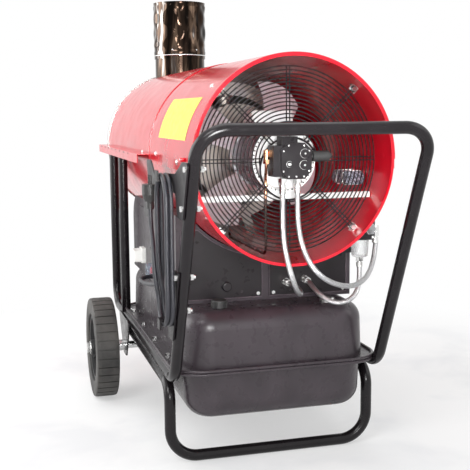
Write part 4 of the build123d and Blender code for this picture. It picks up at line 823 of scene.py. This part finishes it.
ADJUSTER_PROFILE = (
    (0, 0.004), (0.0034, 0.004), (0.003, 0.0049), (0.0014, 0.0052), (0.0012, 0.0044), (0, 0.0043),
)
SHIELD_SLOT_Y = -0.4698             # just under the face of the end shield's rim
SHIELD_SLOT = (0.010, 0.0028, 0.001)
SHIELD_SLOTS = 44
SHIELD_SLOT_R = 0.0625


def capacitor_box():
    """Speckled capacitor case with its two straps, inside the casing's right wall."""
    low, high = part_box("run_capacitor")
    front = Vector((CAPACITOR_X, high.y, CAPACITOR_Z))
    mesh = bmesh.new()
    prism(mesh, rounded(*CAPACITOR_SIZE), facing_rear(front), high.y - low.y, CAPACITOR_EDGE)
    case = piece("capacitor_case", mesh, CAPACITOR_BLUE)
    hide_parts("run_capacitor")
    strap = bmesh.new()
    for y in STRAP_AT:
        prism(strap, rounded(*STRAP_SIZE), facing_rear(front + Vector((0, y, 0))), STRAP_WIDTH, SHEET_EDGE)
    piece("capacitor_straps", strap, ZINC)


def filter_plate():
    """Square black plate with rounded corners behind the filter's hex knob."""
    mesh = bmesh.new()
    prism(mesh, rounded(*FILTER_PLATE_SIZE), facing_rear(FILTER_PLATE_AT), FILTER_PLATE_T, SHEET_EDGE)
    plate = piece("filter_face_plate", mesh, PUMP_BLACK)
    heads = bmesh.new()
    for up in (FILTER_SCREW_Z, -FILTER_SCREW_Z):
        for across in (-FILTER_SCREW_X, FILTER_SCREW_X):
            screw(heads, FILTER_PLATE_AT + Vector((across, -FILTER_PLATE_T, up)), REARWARD, FILTER_SCREW_R)
    piece("filter_plate_screws", heads, ZINC)


def on_pump(x, z):
    """Point on the pump's rear face, millimetres across and up from the casing's axis."""
    return Vector((x / 1000, PUMP_FACE, AXIS_Z + z / 1000))


def port_ring(mesh, port, radius):
    """Adds a bright ring round one of the pump's ports."""
    lathe(mesh, [(radius + out, up) for out, up in PORT_SECTION], on_pump(*port), REARWARD, steps=32)


def pump_trim():
    """Cap screws round the pump's face, and its ports with their rings."""
    mesh = bmesh.new()
    for spot in PUMP_SCREWS:
        screw(mesh, on_pump(*spot), REARWARD, PUMP_SCREW_R)
    for port in HEX_PORTS:
        port_ring(mesh, port, HEX_RING_R)
        lathe(mesh, HEX_PROFILE, on_pump(*port), REARWARD, steps=6)
    port_ring(mesh, ADJUSTER, ADJUSTER_RING_R)
    lathe(mesh, ADJUSTER_PROFILE, on_pump(*ADJUSTER), REARWARD, steps=20)
    piece("pump_trim", mesh, ZINC)


def shield_slots():
    """Cooling slots round the motor's end shield, drawn as black plates: painted shade for the dark inside
    them.
    """
    mesh = bmesh.new()
    outline = rounded(*SHIELD_SLOT)
    for step in range(SHIELD_SLOTS):
        turn = 2 * pi * step / SHIELD_SLOTS
        at = Vector((SHIELD_SLOT_R * cos(turn), SHIELD_SLOT_Y, AXIS_Z + SHIELD_SLOT_R * sin(turn)))
        prism(mesh, outline, facing_rear(at) @ Matrix.Rotation(turn, 4, "Z"), SLOT_DEPTH, SLOT_EDGE)
    piece("shield_slots", mesh, GUARD_BLACK)


# --- edges of the tank and of the rear panels ---------------------------------
ROLL_CORNER = 0.072
ROLL_R = 0.0034
ROLL_LIFTS = {"upper": 0.0036, "lower": -0.0036}    # from the seam
PANEL_IN_X = 0.009
PANEL_OUT_X = 0.1945
PANEL_ARC_X = 0.155         # where the arc under the casing ends
PANEL_ARC_R = 0.2215
PANEL_SHOULDER_Z = 0.5105
PANEL_FOOT_Z = 0.3545
PANEL_ARC_STEPS = 24
EDGE_LIFT = 0.0006          # rearwards from the panels' face
EDGE_R = 0.0011


def tank_flange_roll():
    """Rolled rim round the tank's seam flange, which is the upper half's widest and lowest part."""
    low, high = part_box("tank_upper")
    outline = rounded(high.x - low.x, high.y - low.y, ROLL_CORNER, steps=12)
    middle = (low.y + high.y) / 2
    for name, lift in ROLL_LIFTS.items():
        line = [Vector((x, y + middle, low.z + lift)) for x, y in outline]
        line.append(line[0].copy())
        sweep(f"tank_flange_roll_{name}", line, ROLL_R, TANK_BLACK, sides=12)


def panel_edges():
    """Folded edges of the two rear panels, in a paler black that is a painted highlight of the light they
    catch.
    """
    outline = []
    for step in range(PANEL_ARC_STEPS + 1):
        x = PANEL_IN_X + (PANEL_ARC_X - PANEL_IN_X) * step / PANEL_ARC_STEPS
        outline.append((x, AXIS_Z - sqrt(PANEL_ARC_R * PANEL_ARC_R - x * x)))
    outline += [(PANEL_OUT_X, PANEL_SHOULDER_Z), (PANEL_OUT_X, PANEL_FOOT_Z), (PANEL_IN_X, PANEL_FOOT_Z)]
    outline.append(outline[0])
    for name, side in (("right", 1), ("left", -1)):
        line = [Vector((side * x, PANEL_Y - EDGE_LIFT, z)) for x, z in outline]
        sweep(f"panel_edge_{name}", line, EDGE_R, PANEL_EDGE_HIGHLIGHT, sides=8)


# --- floor and light ----------------------------------------------------------
STUDIO_LIGHT = 0.45
FLOOR_HALF = 14
FLOOR_SPREAD = 2.0                  # metres from the middle to where the gradient ends
FLOOR_NEAR, FLOOR_FAR = 0.58, 0.3   # the gradient's values between which the floor turns white
FLOOR_WHITE = 0.45                  # share of plain white near the heater


def seen_plain(tree):
    """1 for rays from the camera, from mirrors and through glass, which see plain white."""
    path = tree.nodes.new("ShaderNodeLightPath")
    mirrored = math_node(tree, "MAXIMUM", path.outputs["Is Camera Ray"], path.outputs["Is Glossy Ray"])
    return math_node(tree, "MAXIMUM", mirrored, path.outputs["Is Transmission Ray"])


def mix_shaders(tree, factor, first, second, output):
    """Mixes two shaders into an output node's surface."""
    mix = tree.nodes.new("ShaderNodeMixShader")
    for socket, value in zip(mix.inputs, (factor, first, second)):
        tree.links.new(value, socket)
    tree.links.new(mix.outputs["Shader"], tree.nodes[output].inputs["Surface"])


def make_world():
    """White surroundings, plain white to look at and dimmer as a light."""
    world = bpy.data.worlds.new("studio")
    bpy.context.scene.world = world
    world.use_nodes = True
    tree = world.node_tree
    light = tree.nodes["Background"]
    shown = tree.nodes.new("ShaderNodeBackground")
    for background, strength in ((light, STUDIO_LIGHT), (shown, 1.0)):
        background.inputs["Color"].default_value = (1, 1, 1, 1)
        background.inputs["Strength"].default_value = strength
    first, second = light.outputs["Background"], shown.outputs["Background"]
    mix_shaders(tree, seen_plain(tree), first, second, "World Output")


def make_floor():
    """White floor with grey blotches of painted shadow in its colour; it keeps the shadow round the heater
    and runs out into plain white.
    """
    mesh = bmesh.new()
    bmesh.ops.create_grid(mesh, x_segments=1, y_segments=1, size=FLOOR_HALF)
    data = bpy.data.meshes.new("floor")
    mesh.to_mesh(data)
    mesh.free()
    floor = bpy.data.objects.new("floor", data)
    bpy.context.collection.objects.link(floor)

    paint = Paint("floor", (0.93, 0.93, 0.93), 0.9)
    # grey blotches in the floor's colour: painted shadow, patchy like the soft shadow round the heater
    paint.tinted(paint.noise(3.2, 5, distortion=0.4), [(0.36, (0.8, 0.81, 0.83)), (0.5, (0.95, 0.95, 0.95))])
    gradient = paint.node("ShaderNodeTexGradient")
    gradient.gradient_type = "SPHERICAL"
    paint.link(paint.stretched([1 / FLOOR_SPREAD] * 3), gradient.inputs["Vector"])
    white = paint.ranged(gradient.outputs["Fac"], FLOOR_NEAR, FLOOR_FAR, FLOOR_WHITE)
    plain = math_node(paint.tree, "MULTIPLY", white, seen_plain(paint.tree))
    glow = paint.node("ShaderNodeEmission", Strength=1.0)
    mix_shaders(paint.tree, plain, paint.shader.outputs["BSDF"], glow.outputs["Emission"], "Material Output")
    data.materials.append(paint.material)


def area_light(name, at, target, size, power, spread=180):
    """Rectangular lamp at a place, aimed at a target, its spread in degrees."""
    data = bpy.data.lights.new(name, "AREA")
    data.shape = "RECTANGLE"
    data.size, data.size_y = size
    data.energy = power
    data.spread = radians(spread)
    light = bpy.data.objects.new(name, data)
    light.location = at
    light.rotation_euler = (Vector(target) - Vector(at)).to_track_quat("-Z", "Y").to_euler()
    bpy.context.collection.objects.link(light)


def make_lamps():
    area_light("key", (-1.9, -2.2, 2.6), (0, 0, 0.5), (1.2, 1.2), 44)
    area_light("front", (-0.35, -2.9, 1.15), (0.05, -0.3, 0.66), (0.7, 0.7), 10)
    area_light("intake", (-0.3, -1.8, 0.72), (0.0, -0.3, 0.68), (0.5, 0.5), 2.6, spread=45)
    area_light("fill", (2.6, -1.6, 2.2), (0, 0, 0.5), (1.8, 1.8), 12)
    area_light("left_wall", (-2.6, 1.2, 1.3), (0, 0.1, 0.7), (2.6, 2.2), 62)
    area_light("top", (0, 0.1, 3.4), (0, 0, 0), (2.6, 2.6), 40)


# --- the whole scene ----------------------------------------------------------
make_camera()
dress_nodes()
make_hoses()
make_cable()
notice_plate()
casing_screws()
flue_pressed()
flue_rivets()
flue_joint_ring()
capacitor_box()
filter_plate()
pump_trim()
tank_flange_roll()
panel_edges()
ledge_slots()
shield_slots()
seam_tabs()
make_world()
make_floor()
make_lamps()
bpy.context.scene.view_settings.view_transform = "Standard"
